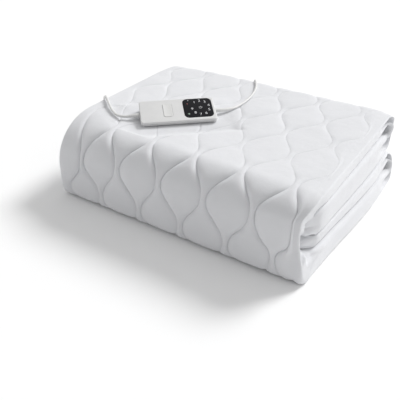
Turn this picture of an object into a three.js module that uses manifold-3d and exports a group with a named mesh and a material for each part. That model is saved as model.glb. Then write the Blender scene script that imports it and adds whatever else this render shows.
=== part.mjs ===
// A folded electric underblanket: a quilted, padded cloth with a wired control lying on top.
// The cloth is folded in three across its width, then folded like a double book along its length.
// Millimetres. +X runs along the long fold, +Y to the back, +Z up; z = 0 is what the blanket lies on.

import * as THREE from 'three';
import { mergeVertices } from 'three/addons/utils/BufferGeometryUtils.js';
import Module from 'manifold-3d';

const wasm = await Module();
wasm.setup();

// Driving sizes of the folded cloth
const PITCH = 43.5;                     // from one quilted line to the next
const TOP = 145.7;                      // height of the folded stack
const LEAF = TOP / 4;                   // each of the four leaves of the double book fold
const LEAF_GAP = 0.6;                   // half the air between two leaves
const LEFT_X = -263;                    // hemmed end
const HEM = { round: 4, from: 0.07, to: 0.22 };
const FOLD_X = 231;                     // where the cloth starts to turn round at the right end
const FRONT_Y = -201;
const BACK_Y = 201;
const BACK_TURN_Y = 169;                // centre line of the two turns at the back
const LEAF_END_Y = -168;                // hems of the second and third leaf, inside the front fold
const FRONT_THICKNESS = 30;             // the three layers where they go down the front
const FRONT_INNER_RADIUS = 33;
const FOOT_INNER_RADIUS = 18;
const VOID_RADIUS = 8;                  // air inside each turn at the back
const VOID_LENGTH = 55;                 // how far that air runs in between the leaves
const HEM_LENGTH = 38;                  // how far a leaf's end is squeezed by its hem
const HEM_SQUEEZE = 13;
const HEM_EDGE = 6;

// The quilting: lines that swing from side to side, neighbours in opposite ways
const LINES = 11;
const FIRST_LINE_X = -222.7;
const SWING = 0.4 * PITCH;
const HALF_WAVE = 1.6875 * PITCH;       // along the cloth, from one narrow place to the next
const GROOVE = 3.2;
const PRESSED_GROOVE = 2;               // on a face that lies against something
const CROWN = 1.3;                      // how far the pillows stand up between the lines
const SHOULDER = 8;                     // from a line to where its pillow starts
const SHOULDER_SHARE = 0.3;             // of the gap, where two lines come close
const VALLEY_X = 226;                   // last seam, just before the right end turns over
const VALLEY = 6;
const VALLEY_CLEAR = 3;                 // from the valley to the nearest quilted line
const EASE = 3;                         // how softly the last line is kept clear of it
const RIDGE = { round: 4, angle: 1.3 }; // how much the ridge beyond the valley is rounded off

// The layers, from the outer face inwards, as shares of a leaf's thickness
const LAYERS = {
  outer: { from: 0, to: 0.3 },
  tucked: { from: 0.35, to: 0.65 },
  inner: { from: 0.7, to: 1 },
};
// Free edge of the tucked layer, rounded off between two shares
const TUCKED_EDGE = { x: 168, round: 4, from: 0.44, to: 0.56 };
// Where inner and tucked layer turn into each other at the left end
const LEFT_FOLD = { x: -253, bulge: 7, inside: 5, insideBulge: 1.5 };

// How high the leaves meet at the left end, in the middle and at the right end
const LEVELS = [
  { left: 0, middle: 0, right: 0 },
  { left: 35.5, middle: LEAF, right: 45 },
  { left: 71, middle: 2 * LEAF, right: 68 },
  { left: 106, middle: 3 * LEAF, right: 118 },
  { left: 142, middle: TOP, right: TOP },
];
const BENDS_X = [-168, 95, 180];        // where the levels start and stop changing, left to right

// Corners of the stack seen from above: how far a side is drawn in between two depths
const CORNERS = [
  { name: 'far right', side: 1, from: 172, to: 203, inwards: 18 },
  { name: 'far left', side: -1, from: 112, to: 203, inwards: 24 },
  { name: 'near left', side: -1, from: -88, to: -203, inwards: 12 },
];
const CORNER_START_X = 130;
const CORNER_MOST = 0.97;               // of a quarter circle, so that no corner ends flat on

// The right end's foot stands out more towards the back
const FOOT_FLARE = { near: -6, nearY: -185, far: 13, farY: 100, full: 20, none: 92 };
// The right end is drawn in along the front edge, most near its upper end
const FRONT_DRAW = { inwards: 14.5, from: -120, to: -196, low: 0, lowFull: 110, highFull: 112, high: 150 };
// The ends of the inner leaves lie back between the front fold and the right end
const RECESS = { inwards: 13, back: -143, fullBack: -156, fullFront: -168, front: -178, low: 18, high: 92 };

// How the cloth turns round at the right end: a rim stands out on each side of a drawn-in middle
const RIM = { from: 0.2, to: 0.38 };
const MOUTH = { length: 52, full: 6, depth: 7 };
const FRONT_MOUTH = { low: 20, high: 82, depth: 14, flatness: 0.6 };
const BULGE_FLATNESS = 0.45;
const END_STEPS = { outer: 11, inner: 6 };
const WALL = { share: 0.2, inset: 3, bulge: 9 };

// The front fold, fuller in the middle than at the left end
const LEFT_LENGTH = 120;                // how far the left end's own front reaches in
const FRONT = {
  topReach: 55,
  topDrop: 59,
  leftReach: 106,
  leftDrop: 85.7,
  footReach: 20,
  footRise: 22,
};

const smooth = (from, to, value) => THREE.MathUtils.smoothstep(value, from, to);
const mix = THREE.MathUtils.lerp;

// Paths in the YZ plane, each a function of a share t of its length
const straight = (y0, z0, y1, z1) => (t) => [mix(y0, y1, t), mix(z0, z1, t)];
const turn = (y, z, reach, rise, from, to) => (t) => {
  const angle = THREE.MathUtils.degToRad(mix(from, to, t));
  return [y + reach * Math.cos(angle), z + rise * Math.sin(angle)];
};

const frontInnerY = FRONT_Y + FRONT_THICKNESS;
const innerTurnY = frontInnerY + FRONT_INNER_RADIUS;
const upperTurnZ = 3 * LEAF + LEAF_GAP;
const lowerTurnZ = LEAF - LEAF_GAP;
const bendRadius = LEAF - LEAF_GAP / 2;
const footInnerY = frontInnerY + FOOT_INNER_RADIUS;
const footInnerZ = lowerTurnZ + FOOT_INNER_RADIUS;

// A leaf's inner face, opening towards the air inside the turn at the back
const leafInner = (y0, y1, z, side) => (t) => {
  const y = mix(y0, y1, t);
  const air = mix(LEAF_GAP, VOID_RADIUS, smooth(BACK_TURN_Y - VOID_LENGTH, BACK_TURN_Y, y));
  return [y, z + side * air];
};
// The end of a leaf, squeezed thinner by its hem and rounded off at its edge
const hemmed = (path, side, squeeze = 0) => (t) => {
  const [y, z] = path(t);
  const squeezed = squeeze * (1 - smooth(LEAF_END_Y, LEAF_END_Y + HEM_LENGTH, y));
  const rounded = HEM_EDGE * (1 - smooth(LEAF_END_Y, LEAF_END_Y + HEM_EDGE, y));
  return [y, z + side * (squeezed + rounded)];
};

// How far the right end stands out: growing from the front to the back, or changing along a run
const changing = (from, to) => (t) => mix(from, to, t);
const growing = (near, far) => (t, y) => mix(near, far, smooth(FOOT_FLARE.nearY, FOOT_FLARE.farY, y));
const swelling = (start, middle, end) => (t) => mix(t < 0.5 ? start : end, middle, Math.sin(Math.PI * t));

// The path of the cloth, from the hem of the second leaf round to the hem of the third.
// bulge: how far the right end stands out; tuck: how far its middle is drawn in at a turn;
// pillow: share of the crowns that is left.
const RUNS = [
  {
    name: 'second leaf', at: [0, 0.02, 0.08, 0.2, 0.55, 0.84, 0.93], bulge: growing(5, 12), tuck: 24,
    outer: hemmed(straight(LEAF_END_Y, 2 * LEAF + LEAF_GAP, BACK_TURN_Y, 2 * LEAF + LEAF_GAP), 1),
    inner: hemmed(leafInner(LEAF_END_Y, BACK_TURN_Y, 3 * LEAF, -1), -1, HEM_SQUEEZE),
    pillow: () => 0,
  },
  {
    name: 'upper back turn', steps: 8, bulge: swelling(9, 15, 6), tuck: 26,
    outer: turn(BACK_TURN_Y, 3 * LEAF + LEAF_GAP / 2, BACK_Y - BACK_TURN_Y, bendRadius, -90, 90),
    inner: turn(BACK_TURN_Y, 3 * LEAF, VOID_RADIUS, VOID_RADIUS, -90, 90),
    pillow: (t) => smooth(0.1, 0.5, t),
  },
  {
    name: 'top leaf', steps: 17, bulge: growing(4, 5), tuck: 26,
    outer: straight(BACK_TURN_Y, TOP, FRONT_Y + FRONT.topReach, TOP),
    outerLeft: straight(BACK_TURN_Y, TOP, FRONT_Y + FRONT.leftReach, TOP),
    inner: leafInner(BACK_TURN_Y, innerTurnY, 3 * LEAF, 1),
    pillow: () => 1,
  },
  {
    name: 'front, over the edge', steps: 7, bulge: changing(4, 5), tuck: 14,
    outer: turn(FRONT_Y + FRONT.topReach, TOP - FRONT.topDrop, FRONT.topReach, FRONT.topDrop, 90, 180),
    outerLeft: turn(
      FRONT_Y + FRONT.leftReach, TOP - FRONT.leftDrop, FRONT.leftReach, FRONT.leftDrop, 90, 180),
    inner: turn(innerTurnY, upperTurnZ - FRONT_INNER_RADIUS, FRONT_INNER_RADIUS, FRONT_INNER_RADIUS, 90, 180),
    pillow: () => 1,
  },
  {
    name: 'front, going down', steps: 4, bulge: changing(5, 10.5), tuck: 14,
    outer: straight(FRONT_Y, TOP - FRONT.topDrop, FRONT_Y, FRONT.footRise),
    outerLeft: straight(FRONT_Y, TOP - FRONT.leftDrop, FRONT_Y, FRONT.footRise),
    inner: straight(frontInnerY, upperTurnZ - FRONT_INNER_RADIUS, frontInnerY, footInnerZ),
    pillow: () => 1,
  },
  {
    name: 'front, turning under', steps: 5, bulge: changing(10.5, 15), tuck: 14,
    outer: turn(FRONT_Y + FRONT.footReach, FRONT.footRise, FRONT.footReach, FRONT.footRise, 180, 270),
    inner: turn(footInnerY, footInnerZ, FOOT_INNER_RADIUS, FOOT_INNER_RADIUS, 180, 270),
    pillow: (t) => 1 - smooth(0, 0.6, t),
  },
  {
    name: 'bottom leaf', at: [0, 0.08, 0.2, 0.4, 0.62, 0.82, 0.91], bulge: changing(15, 15), tuck: 26,
    outer: straight(FRONT_Y + FRONT.footReach, 0, BACK_TURN_Y, 0),
    inner: leafInner(footInnerY, BACK_TURN_Y, LEAF, -1),
    pillow: () => 0,
  },
  {
    name: 'lower back turn', steps: 8, bulge: swelling(15, 18, 9), tuck: 28,
    outer: turn(BACK_TURN_Y, LEAF - LEAF_GAP / 2, BACK_Y - BACK_TURN_Y, bendRadius, -90, 90),
    inner: turn(BACK_TURN_Y, LEAF, VOID_RADIUS, VOID_RADIUS, -90, 90),
    pillow: (t) => smooth(0.3, 0.5, t) * (1 - smooth(0.6, 0.9, t)),
  },
  {
    name: 'third leaf', at: [0, 0.07, 0.16, 0.45, 0.8, 0.92, 0.98, 1], bulge: growing(5, 12), tuck: 26,
    outer: hemmed(straight(BACK_TURN_Y, 2 * LEAF - LEAF_GAP, LEAF_END_Y, 2 * LEAF - LEAF_GAP), -1),
    inner: hemmed(leafInner(BACK_TURN_Y, LEAF_END_Y, LEAF, 1), 1, HEM_SQUEEZE),
    pillow: () => 0,
  },
];

// Stations along the path, each with its place on the outer and inner face of the leaf
function pathStations() {
  const stations = [];
  for (const run of RUNS) {
    const shares = run.at ?? Array.from({ length: run.steps }, (_, i) => i / run.steps);
    for (const t of shares) {
      const outer = run.outer(t);
      stations.push({
        run,
        t,
        outer,
        outerLeft: (run.outerLeft ?? run.outer)(t),
        inner: run.inner(t),
        pillow: run.pillow(t),
      });
    }
  }
  return stations;
}

// Where a station lies along the quilting, in half waves; -1 is the start of the front fold
function countWaves(stations) {
  const start = stations.findIndex((station) => station.run.name === 'front, over the edge');
  let length = 0;
  stations.forEach((station, i) => {
    const before = stations[Math.max(i - 1, 0)].outer;
    length += Math.hypot(station.outer[0] - before[0], station.outer[1] - before[1]);
    station.length = length;
  });
  for (const station of stations) {
    station.wave = -1 + (station.length - stations[start].length) / HALF_WAVE;
  }
}

// X of a quilted line at one station, eased off before it would run into the valley
function lineX(line, wave) {
  const side = line % 2 === 0 ? 1 : -1;
  const x = FIRST_LINE_X + line * PITCH + side * SWING * Math.cos(Math.PI * wave);
  const room = VALLEY_X - VALLEY_CLEAR - x;
  return x - EASE * Math.log(1 + Math.exp(-room / EASE));
}

// How far the right end is drawn in at a station: wholly at a turn, fading out along a leaf
function openAt({ run, outer, inner }) {
  if (run.name.startsWith('front')) {
    const { low, high, flatness } = FRONT_MOUTH;
    const height = THREE.MathUtils.clamp((outer[1] - low) / (high - low), 0, 1);
    return Math.pow(Math.sin(Math.PI * height), flatness);
  }
  return smooth(BACK_TURN_Y - MOUTH.length, BACK_TURN_Y + MOUTH.full, Math.max(outer[0], inner[0]));
}

// The cut through the folded cloth at one station, as a closed loop of points.
// Each point is [x, share of the leaf's thickness from the outer face, inward step].
function cutThrough(station) {
  const { run, pillow, wave } = station;
  const { outer, tucked, inner } = LAYERS;
  const points = [];
  const add = (x, share, step = 0) => points.push([x, share, step]);
  const across = (x0, x1, share) => {
    const bends = BENDS_X.filter((x) => x > Math.min(x0, x1) && x < Math.max(x0, x1));
    for (const x of [x0, ...(x0 < x1 ? bends : bends.reverse()), x1]) add(x, share);
  };
  const groove = mix(PRESSED_GROOVE, GROOVE, pillow);
  const crown = (gap) => -CROWN * pillow * smooth(0.1 * PITCH, PITCH, gap);

  // outer face, left to right: each line is a groove between the shoulders of two pillows
  add(LEFT_X + HEM.round, outer.from);
  let edge = LEFT_X + HEM.round;
  for (let line = 0; line <= LINES; line += 1) {
    const x = line < LINES ? lineX(line, wave) : VALLEY_X;
    const gap = x - edge;
    const reach = Math.min(SHOULDER, SHOULDER_SHARE * gap);
    if (line > 0) add(edge + reach, 0, crown(gap));
    add(x - reach, 0, crown(gap));
    add(x, 0, line < LINES ? groove : mix(PRESSED_GROOVE, VALLEY, pillow));
    edge = x;
  }

  // right end: the cloth turns round, with its middle drawn in near a turn
  const inFront = run.name.startsWith('front');
  const open = openAt(station);
  const bulge = run.bulge(station.t, station.outer[0]);
  const endPoint = (angle, reach, back, standOut) => {
    const share = 0.5 - reach * Math.cos(angle);
    const innerRim = inFront ? 0 : smooth(1 - RIM.to, 1 - RIM.from, share);
    const dip = smooth(RIM.from, RIM.to, share) * (1 - innerRim);
    const rounding = reach === 0.5 ? RIDGE.round * pillow * (1 - smooth(0, RIDGE.angle, angle)) : 0;
    const out = standOut * Math.pow(Math.sin(angle), BULGE_FLATNESS);
    add(FOLD_X - back + out - run.tuck * open * dip, share, rounding);
  };
  const innerBack = inFront ? run.tuck * open : 0;
  for (let i = 1; i < END_STEPS.outer; i += 1) endPoint((Math.PI * i) / END_STEPS.outer, 0.5, 0, bulge);
  across(FOLD_X - innerBack, LEFT_FOLD.x, inner.to);

  // left end: the inner layer turns back into the tucked one
  for (let i = 1; i <= 3; i += 1) {
    const angle = (Math.PI * i) / 4;
    const share = mix(inner.to, tucked.from, (1 - Math.cos(angle)) / 2);
    add(LEFT_FOLD.x - LEFT_FOLD.bulge * Math.sin(angle), share);
  }
  across(LEFT_FOLD.x, TUCKED_EDGE.x, tucked.from);
  add(TUCKED_EDGE.x + TUCKED_EDGE.round, TUCKED_EDGE.from);
  add(TUCKED_EDGE.x + TUCKED_EDGE.round, TUCKED_EDGE.to);
  const insideX = LEFT_FOLD.x + LEFT_FOLD.inside;
  across(TUCKED_EDGE.x, insideX, tucked.to);
  add(insideX - LEFT_FOLD.insideBulge, (tucked.to + inner.from) / 2);
  const inset = WALL.inset + open * (inFront ? FRONT_MOUTH.depth : MOUTH.depth);
  across(insideX, FOLD_X - inset - innerBack, inner.from);
  const within = Math.max(bulge - WALL.bulge, 0);
  for (let i = END_STEPS.inner - 1; i >= 1; i -= 1) {
    endPoint((Math.PI * i) / END_STEPS.inner, WALL.share, inset, within);
  }
  across(FOLD_X - inset, LEFT_X + HEM.round, outer.to);

  // hem of the outer layer
  add(LEFT_X, HEM.to);
  add(LEFT_X, HEM.from);
  return points;
}

// The control's place on the top leaf
const CONTROL = {
  length: 137.5,
  width: 63,
  corner: 5.5,
  middle: [-87.8, -50, 160],
  turn: 41.7,
  tilt: 14.5,
  nearThickness: 8,
  farThickness: 18.5,
  parting: 4.5,
};
// The quilt's seat under the control: held right round it, then fading out
const SEAT = { clearance: 1.8, full: 18, none: 44, margin: 10, highest: TOP + 4 };

// Axes of the control: along its length, across it away from the user, and out of its face
function controlBasis() {
  const turned = THREE.MathUtils.degToRad(CONTROL.turn);
  const tilted = THREE.MathUtils.degToRad(CONTROL.tilt);
  const along = new THREE.Vector3(Math.cos(turned), Math.sin(turned), 0);
  const level = new THREE.Vector3(-Math.sin(turned), Math.cos(turned), 0);
  const across = level.multiplyScalar(Math.cos(tilted)).add(new THREE.Vector3(0, 0, Math.sin(tilted)));
  const out = new THREE.Vector3().crossVectors(along, across);
  return { along, across, out };
}
const controlPlace = new THREE.Matrix4();
const basis = controlBasis();
controlPlace.makeBasis(basis.along, basis.across, basis.out);
controlPlace.setPosition(...CONTROL.middle);
const controlInverse = controlPlace.clone().invert();

const thicknessAt = (v) => mix(CONTROL.nearThickness, CONTROL.farThickness, v / CONTROL.width + 0.5);

// The quilt under the control takes the control's own slope
function settleUnderControl(point) {
  const local = point.clone().applyMatrix4(controlInverse);
  const away = Math.max(
    Math.abs(local.x) - CONTROL.length / 2,
    Math.abs(local.y) - CONTROL.width / 2,
    0,
  );
  const hold = 1 - smooth(SEAT.full, SEAT.none, away);
  const edge = CONTROL.width / 2 + SEAT.margin;
  const below = -thicknessAt(THREE.MathUtils.clamp(local.y, -edge, edge)) - SEAT.clearance;
  const seat = new THREE.Vector3(local.x, local.y, below).applyMatrix4(controlPlace);
  point.z = mix(point.z, Math.min(seat.z, SEAT.highest), hold);
}

// Share of the recess at one place of the right end: a band up and down, fading to its sides
function recessAt(y, z) {
  const height = THREE.MathUtils.clamp((z - RECESS.low) / (RECESS.high - RECESS.low), 0, 1);
  const along = smooth(-RECESS.back, -RECESS.fullBack, -y) * (1 - smooth(-RECESS.fullFront, -RECESS.front, -y));
  return Math.sqrt(Math.sin(Math.PI * height)) * along;
}

// Slow changes of the whole stack: its levels, its rounded corners and its flared foot
function settle(point) {
  const toLeft = THREE.MathUtils.clamp((point.x - BENDS_X[0]) / (LEFT_X - BENDS_X[0]), 0, 1);
  const toRight = THREE.MathUtils.clamp((point.x - BENDS_X[1]) / (BENDS_X[2] - BENDS_X[1]), 0, 1);
  const levelAt = (level) => level.middle
    + (level.left - level.middle) * toLeft
    + (level.right - level.middle) * toRight;
  const leaf = THREE.MathUtils.clamp(Math.floor(point.z / LEAF), 0, 3);
  const share = point.z / LEAF - leaf;
  point.z = mix(levelAt(LEVELS[leaf]), levelAt(LEVELS[leaf + 1]), share);

  const atEnd = smooth(CORNER_START_X, -LEFT_X, Math.abs(point.x));
  let shift = 0;
  for (const { side, from, to, inwards } of CORNERS) {
    const past = THREE.MathUtils.clamp((point.y - from) / (to - from), 0, CORNER_MOST);
    if (side * point.x > 0) shift -= side * inwards * (1 - Math.sqrt(1 - past * past));
  }
  if (point.x > 0) {
    const towardsBack = smooth(FOOT_FLARE.nearY, FOOT_FLARE.farY, point.y);
    const low = 1 - smooth(FOOT_FLARE.full, FOOT_FLARE.none, point.z);
    shift += mix(FOOT_FLARE.near, FOOT_FLARE.far, towardsBack) * low;
  }
  if (point.x > 0) {
    const { inwards, from, to, low, lowFull, highFull, high } = FRONT_DRAW;
    const band = smooth(low, lowFull, point.z) * (1 - smooth(highFull, high, point.z));
    shift -= inwards * band * smooth(-from, -to, -point.y);
    shift -= RECESS.inwards * recessAt(point.y, point.z);
  }
  point.x += shift * atEnd;
}

// A closed body from loops of points, one after the other, with caps over the first and last
function loft(loops, caps) {
  const count = loops[0].length;
  const positions = loops.flat().flatMap((point) => [point.x, point.y, point.z]);
  const index = [];
  for (let i = 0; i + 1 < loops.length; i += 1) {
    for (let j = 0; j < count; j += 1) {
      const a = i * count + j;
      const b = i * count + ((j + 1) % count);
      index.push(a, b, a + count, b, b + count, a + count);
    }
  }
  const last = (loops.length - 1) * count;
  const faces = caps ?? Array.from({ length: count - 2 }, (_, i) => [0, i + 1, i + 2]);
  for (const [a, b, c] of faces) {
    index.push(a, c, b, last + a, last + b, last + c);
  }
  const geometry = new THREE.BufferGeometry();
  geometry.setAttribute('position', new THREE.Float32BufferAttribute(positions, 3));
  geometry.setIndex(index);
  return facingOut(geometry);
}

// Turns a closed body's faces outwards where they point inwards
function facingOut(geometry) {
  const position = geometry.getAttribute('position');
  const index = geometry.getIndex();
  const [a, b, c] = [new THREE.Vector3(), new THREE.Vector3(), new THREE.Vector3()];
  let volume = 0;
  for (let i = 0; i < index.count; i += 3) {
    a.fromBufferAttribute(position, index.getX(i));
    b.fromBufferAttribute(position, index.getX(i + 1));
    c.fromBufferAttribute(position, index.getX(i + 2));
    volume += a.dot(b.cross(c));
  }
  if (volume < 0) {
    for (let i = 0; i < index.count; i += 3) {
      const kept = index.getX(i);
      index.setX(i, index.getX(i + 1));
      index.setX(i + 1, kept);
    }
  }
  geometry.computeVertexNormals();
  return geometry;
}

// A leaf's end is cut into triangles as if slightly bowed, so that no three points lie in line
const CAP_BOW = { rise: 0.6, length: 160 };

function blanketGeometry() {
  const stations = pathStations();
  countWaves(stations);
  const loops = stations.map((station) => cutThrough(station).map(([x, share, step]) => {
    const toLeft = 1 - smooth(LEFT_X, LEFT_X + LEFT_LENGTH, x);
    const y = mix(station.outer[0], station.outerLeft[0], toLeft);
    const z = mix(station.outer[1], station.outerLeft[1], toLeft);
    const inward = new THREE.Vector2(station.inner[0] - y, station.inner[1] - z);
    const depth = inward.length() * share + step;
    inward.normalize().multiplyScalar(depth);
    const point = new THREE.Vector3(x, y + inward.x, z + inward.y);
    settle(point);
    if (station.run.name === 'top leaf' && share === 0) settleUnderControl(point);
    return point;
  }));
  const flat = cutThrough(stations[0]).map(([x, share]) => {
    const bow = CAP_BOW.rise * Math.sin((x - LEFT_X) / CAP_BOW.length);
    return new THREE.Vector2(x, LEAF * share + bow);
  });
  const caps = THREE.ShapeUtils.triangulateShape(flat, []);
  return loft(loops, caps);
}

// Rounded rectangle of the control's own plane, drawn in by an inset, at heights given by a function
function roundedLoop(size, inset, heightAt) {
  const { length, width, corner } = size;
  const x = size.x ?? 0;
  const y = size.y ?? 0;
  const radius = Math.max(corner - inset, 0.6);
  const halfLength = length / 2 - inset - radius;
  const halfWidth = width / 2 - inset - radius;
  const loop = [];
  for (const [sideX, sideY, from] of [[1, 1, 0], [-1, 1, 90], [-1, -1, 180], [1, -1, 270]]) {
    for (let i = 0; i <= 4; i += 1) {
      const angle = THREE.MathUtils.degToRad(from + (90 * i) / 4);
      const px = x + sideX * halfLength + radius * Math.cos(angle);
      const py = y + sideY * halfWidth + radius * Math.sin(angle);
      loop.push(new THREE.Vector3(px, py, heightAt(px, py)));
    }
  }
  return loop;
}

// A slab from rows of inset and height
const slab = (size, rows) => loft(rows.map(({ inset, height }) => (
  roundedLoop(size, inset, typeof height === 'function' ? height : () => height)
)));

function solidOf(geometry) {
  const bare = geometry.clone();
  bare.deleteAttribute('normal');
  bare.deleteAttribute('uv');
  const merged = mergeVertices(bare, 1e-4);
  return new wasm.Manifold(new wasm.Mesh({
    numProp: 3,
    vertProperties: merged.getAttribute('position').array,
    triVerts: Uint32Array.from(merged.getIndex().array),
  }));
}

function geometryOf(solid) {
  const mesh = solid.getMesh();
  const geometry = new THREE.BufferGeometry();
  geometry.setAttribute('position', new THREE.BufferAttribute(Float32Array.from(mesh.vertProperties), 3));
  geometry.setIndex(new THREE.BufferAttribute(Uint32Array.from(mesh.triVerts), 1));
  geometry.computeVertexNormals();
  return geometry;
}

// The control's face: a square display at one end and a key beside it
const CLEARANCE = 0.35;
const DISPLAY = { x: 37.2, y: 2.3, length: 52.8, width: 53, corner: 9, depth: 1.6 };
const KEY = { x: -18.4, y: 1, length: 16.4, width: 37.5, corner: 4.5, proud: 0.6, body: 1.9, travel: 0.8 };
const larger = (size, by) => ({
  ...size,
  length: size.length + 2 * by,
  width: size.width + 2 * by,
  corner: size.corner + by,
});

function controlCoverGeometry() {
  const body = slab(CONTROL, [
    { inset: 0.8, height: -CONTROL.parting },
    { inset: 0, height: -CONTROL.parting + 0.9 },
    { inset: 0, height: -2.2 },
    { inset: 0.6, height: -0.8 },
    { inset: 1.8, height: 0 },
  ]);
  const displaySeat = slab(larger(DISPLAY, CLEARANCE), [
    { inset: 0, height: -DISPLAY.depth - CLEARANCE },
    { inset: 0, height: 3 },
  ]);
  const keyWell = slab(larger(KEY, CLEARANCE), [
    { inset: 0, height: -KEY.body - KEY.travel - CLEARANCE },
    { inset: 0, height: 3 },
  ]);
  return geometryOf(solidOf(body).subtract(solidOf(displaySeat)).subtract(solidOf(keyWell)));
}

function controlBaseGeometry() {
  const underside = (px, py) => -thicknessAt(py);
  return slab(CONTROL, [
    { inset: 0.8, height: -CONTROL.parting - CLEARANCE },
    { inset: 0, height: -CONTROL.parting - CLEARANCE - 0.8 },
    { inset: 0.5, height: (px, py) => underside(px, py) + 1.8 },
    { inset: 2.4, height: underside },
  ]);
}

const displayGeometry = () => slab(DISPLAY, [
  { inset: 0, height: -DISPLAY.depth },
  { inset: 0, height: -0.1 },
  { inset: 0.4, height: 0.15 },
]);

const keyGeometry = () => slab(KEY, [
  { inset: 0, height: -KEY.body },
  { inset: 0, height: KEY.proud - 0.6 },
  { inset: 0.8, height: KEY.proud },
]);

// A round or oval sleeve along a curve, from rows of share along it and half sizes
function sleeve(curve, rows, sides = 12) {
  const loops = rows.map(({ at, wide, high }) => {
    const centre = curve.getPointAt(at);
    const forward = curve.getTangentAt(at);
    const side = new THREE.Vector3(forward.y, -forward.x, 0).normalize();
    const up = new THREE.Vector3().crossVectors(side, forward);
    return Array.from({ length: sides }, (_, i) => {
      const angle = (2 * Math.PI * (i + 0.5)) / sides;
      return centre.clone()
        .addScaledVector(side, wide * Math.cos(angle))
        .addScaledVector(up, high * Math.sin(angle));
    });
  });
  return loft(loops);
}

const curveThrough = (points) => new THREE.CatmullRomCurve3(
  points.map(([x, y, z]) => new THREE.Vector3(x, y, z)), false, 'centripetal');

// The leads. Each route is the middle of the lead, in order.
const LEAD = 4.8;
const LEAD_SIDES = 10;
const MAINS_RELIEF_ROUTE = [[-140.6, -94.7, 153.3], [-147.8, -101, 153], [-155.2, -106.9, 152.3]];
const MAINS_ROUTE = [
  [-155.7, -107.3, 152.3], [-163, -111.8, 151.5], [-172, -112.6, 150.7], [-182, -110.4, 150.1],
  [-192, -105.4, 149.9], [-202.5, -98.5, 149.8], [-213, -90.5, 149.7], [-223.5, -82, 149.6],
  [-234, -73.2, 149.5], [-243, -65.4, 149.4], [-250.4, -59, 149.2], [-258.8, -52.4, 147.6],
  [-266, -47.5, 142.9], [-270.7, -44.2, 135.8], [-272.4, -42, 127.4], [-272.8, -39.6, 112],
  [-272.8, -36.6, 92], [-272.8, -33.6, 72], [-272.8, -30.6, 52], [-273.2, -27.2, 33],
  [-274.3, -23, 19.5], [-276, -16, 9.2], [-277.2, -6.5, 3.8], [-277.6, 4, 2.5],
  [-277.7, 16, 2.5], [-277.7, 32, 3.4],
];
const BLANKET_RELIEF_ROUTE = [
  [-37.4, -2.8, 153.3], [-30.2, 4.3, 152.9], [-24.2, 13.1, 152.1], [-19.6, 22.7, 151.3],
];
const BLANKET_ROUTE = [
  [-19.4, 23.1, 151.3], [-16.6, 31.4, 150.6], [-14.9, 43, 150.1], [-14.3, 56, 150],
  [-14, 69, 150], [-14.6, 82, 150], [-16.2, 96, 150], [-19, 110, 150],
  [-23, 125, 150], [-28.4, 140, 150], [-35, 154, 150], [-42.4, 167, 149.9],
  [-49.8, 179, 148.2], [-56.6, 190, 143.2], [-61.8, 198.6, 134.6], [-65.2, 204.2, 122.6],
  [-67.2, 206.6, 109.6], [-68.2, 207, 94.5], [-69, 204.9, 85.3], [-69.4, 199.5, 78.4],
  [-69.8, 193.2, 74.8], [-70, 190.4, 74],
];
const GLAND_ROUTE = [[-70, 190.1, 73.9], [-70, 185.6, 72.8], [-70, 181.2, 72.1]];

function leadGeometry(route, steps) {
  const section = new THREE.Shape();
  for (let i = 0; i < LEAD_SIDES; i += 1) {
    const angle = (2 * Math.PI * (i + 0.5)) / LEAD_SIDES;
    const [x, y] = [(LEAD / 2) * Math.cos(angle), (LEAD / 2) * Math.sin(angle)];
    if (i === 0) section.moveTo(x, y);
    else section.lineTo(x, y);
  }
  return new THREE.ExtrudeGeometry(section, {
    steps,
    bevelEnabled: false,
    extrudePath: curveThrough(route),
  });
}

// The stored length, wound three turns wide and three high, held by a tie
const COIL = { x: -310, y: 32, radius: 27.5, turns: 3, rest: 1.5 };
const COIL_HALF = (COIL.turns * LEAD) / 2;
const TIE = { wall: 1, width: 6, gap: 0.5, corner: 2.4, innerCorner: 1.6 };
const COIL_CORNER = 0.4;                // share of its half height cut off each corner

function coilGeometry(extra = 0) {
  const half = COIL_HALF + extra;
  const cut = half * COIL_CORNER;
  const middle = COIL.rest + COIL_HALF;
  const corners = [
    [-half, -half + cut], [-half, half - cut], [-half + cut, half], [half - cut, half],
    [half, half - cut], [half, -half + cut], [half - cut, -half], [-half + cut, -half],
    [-half, -half + cut],
  ];
  const profile = corners.map(([r, z]) => new THREE.Vector2(COIL.radius + r, z));
  const geometry = new THREE.LatheGeometry(profile, 40);
  geometry.rotateX(Math.PI / 2);
  geometry.translate(COIL.x, COIL.y, middle);
  const bare = geometry.clone();
  bare.deleteAttribute('normal');
  bare.deleteAttribute('uv');
  return facingOut(mergeVertices(bare, 1e-4));
}

// A lead cut off where it goes into the coil
const trimmedLead = (route, steps) => geometryOf(
  solidOf(leadGeometry(route, steps)).subtract(solidOf(coilGeometry(0.3))));

function tieGeometry() {
  const inside = COIL_HALF + TIE.gap;
  const outside = inside + TIE.wall;
  const square = (half, corner) => [
    [-half + corner, -half], [half - corner, -half], [half, -half + corner], [half, half - corner],
    [half - corner, half], [-half + corner, half], [-half, half - corner], [-half, -half + corner],
  ].map(([x, y]) => new THREE.Vector2(x, y));
  const band = new THREE.Shape(square(outside, TIE.corner));
  band.holes.push(new THREE.Path(square(inside, TIE.innerCorner)));
  const geometry = new THREE.ExtrudeGeometry(band, { depth: TIE.width, bevelEnabled: false });
  geometry.translate(0, 0, -TIE.width / 2);
  geometry.rotateX(Math.PI / 2);
  geometry.translate(COIL.x - COIL.radius, COIL.y, COIL.rest + COIL_HALF);
  return geometry;
}

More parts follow.
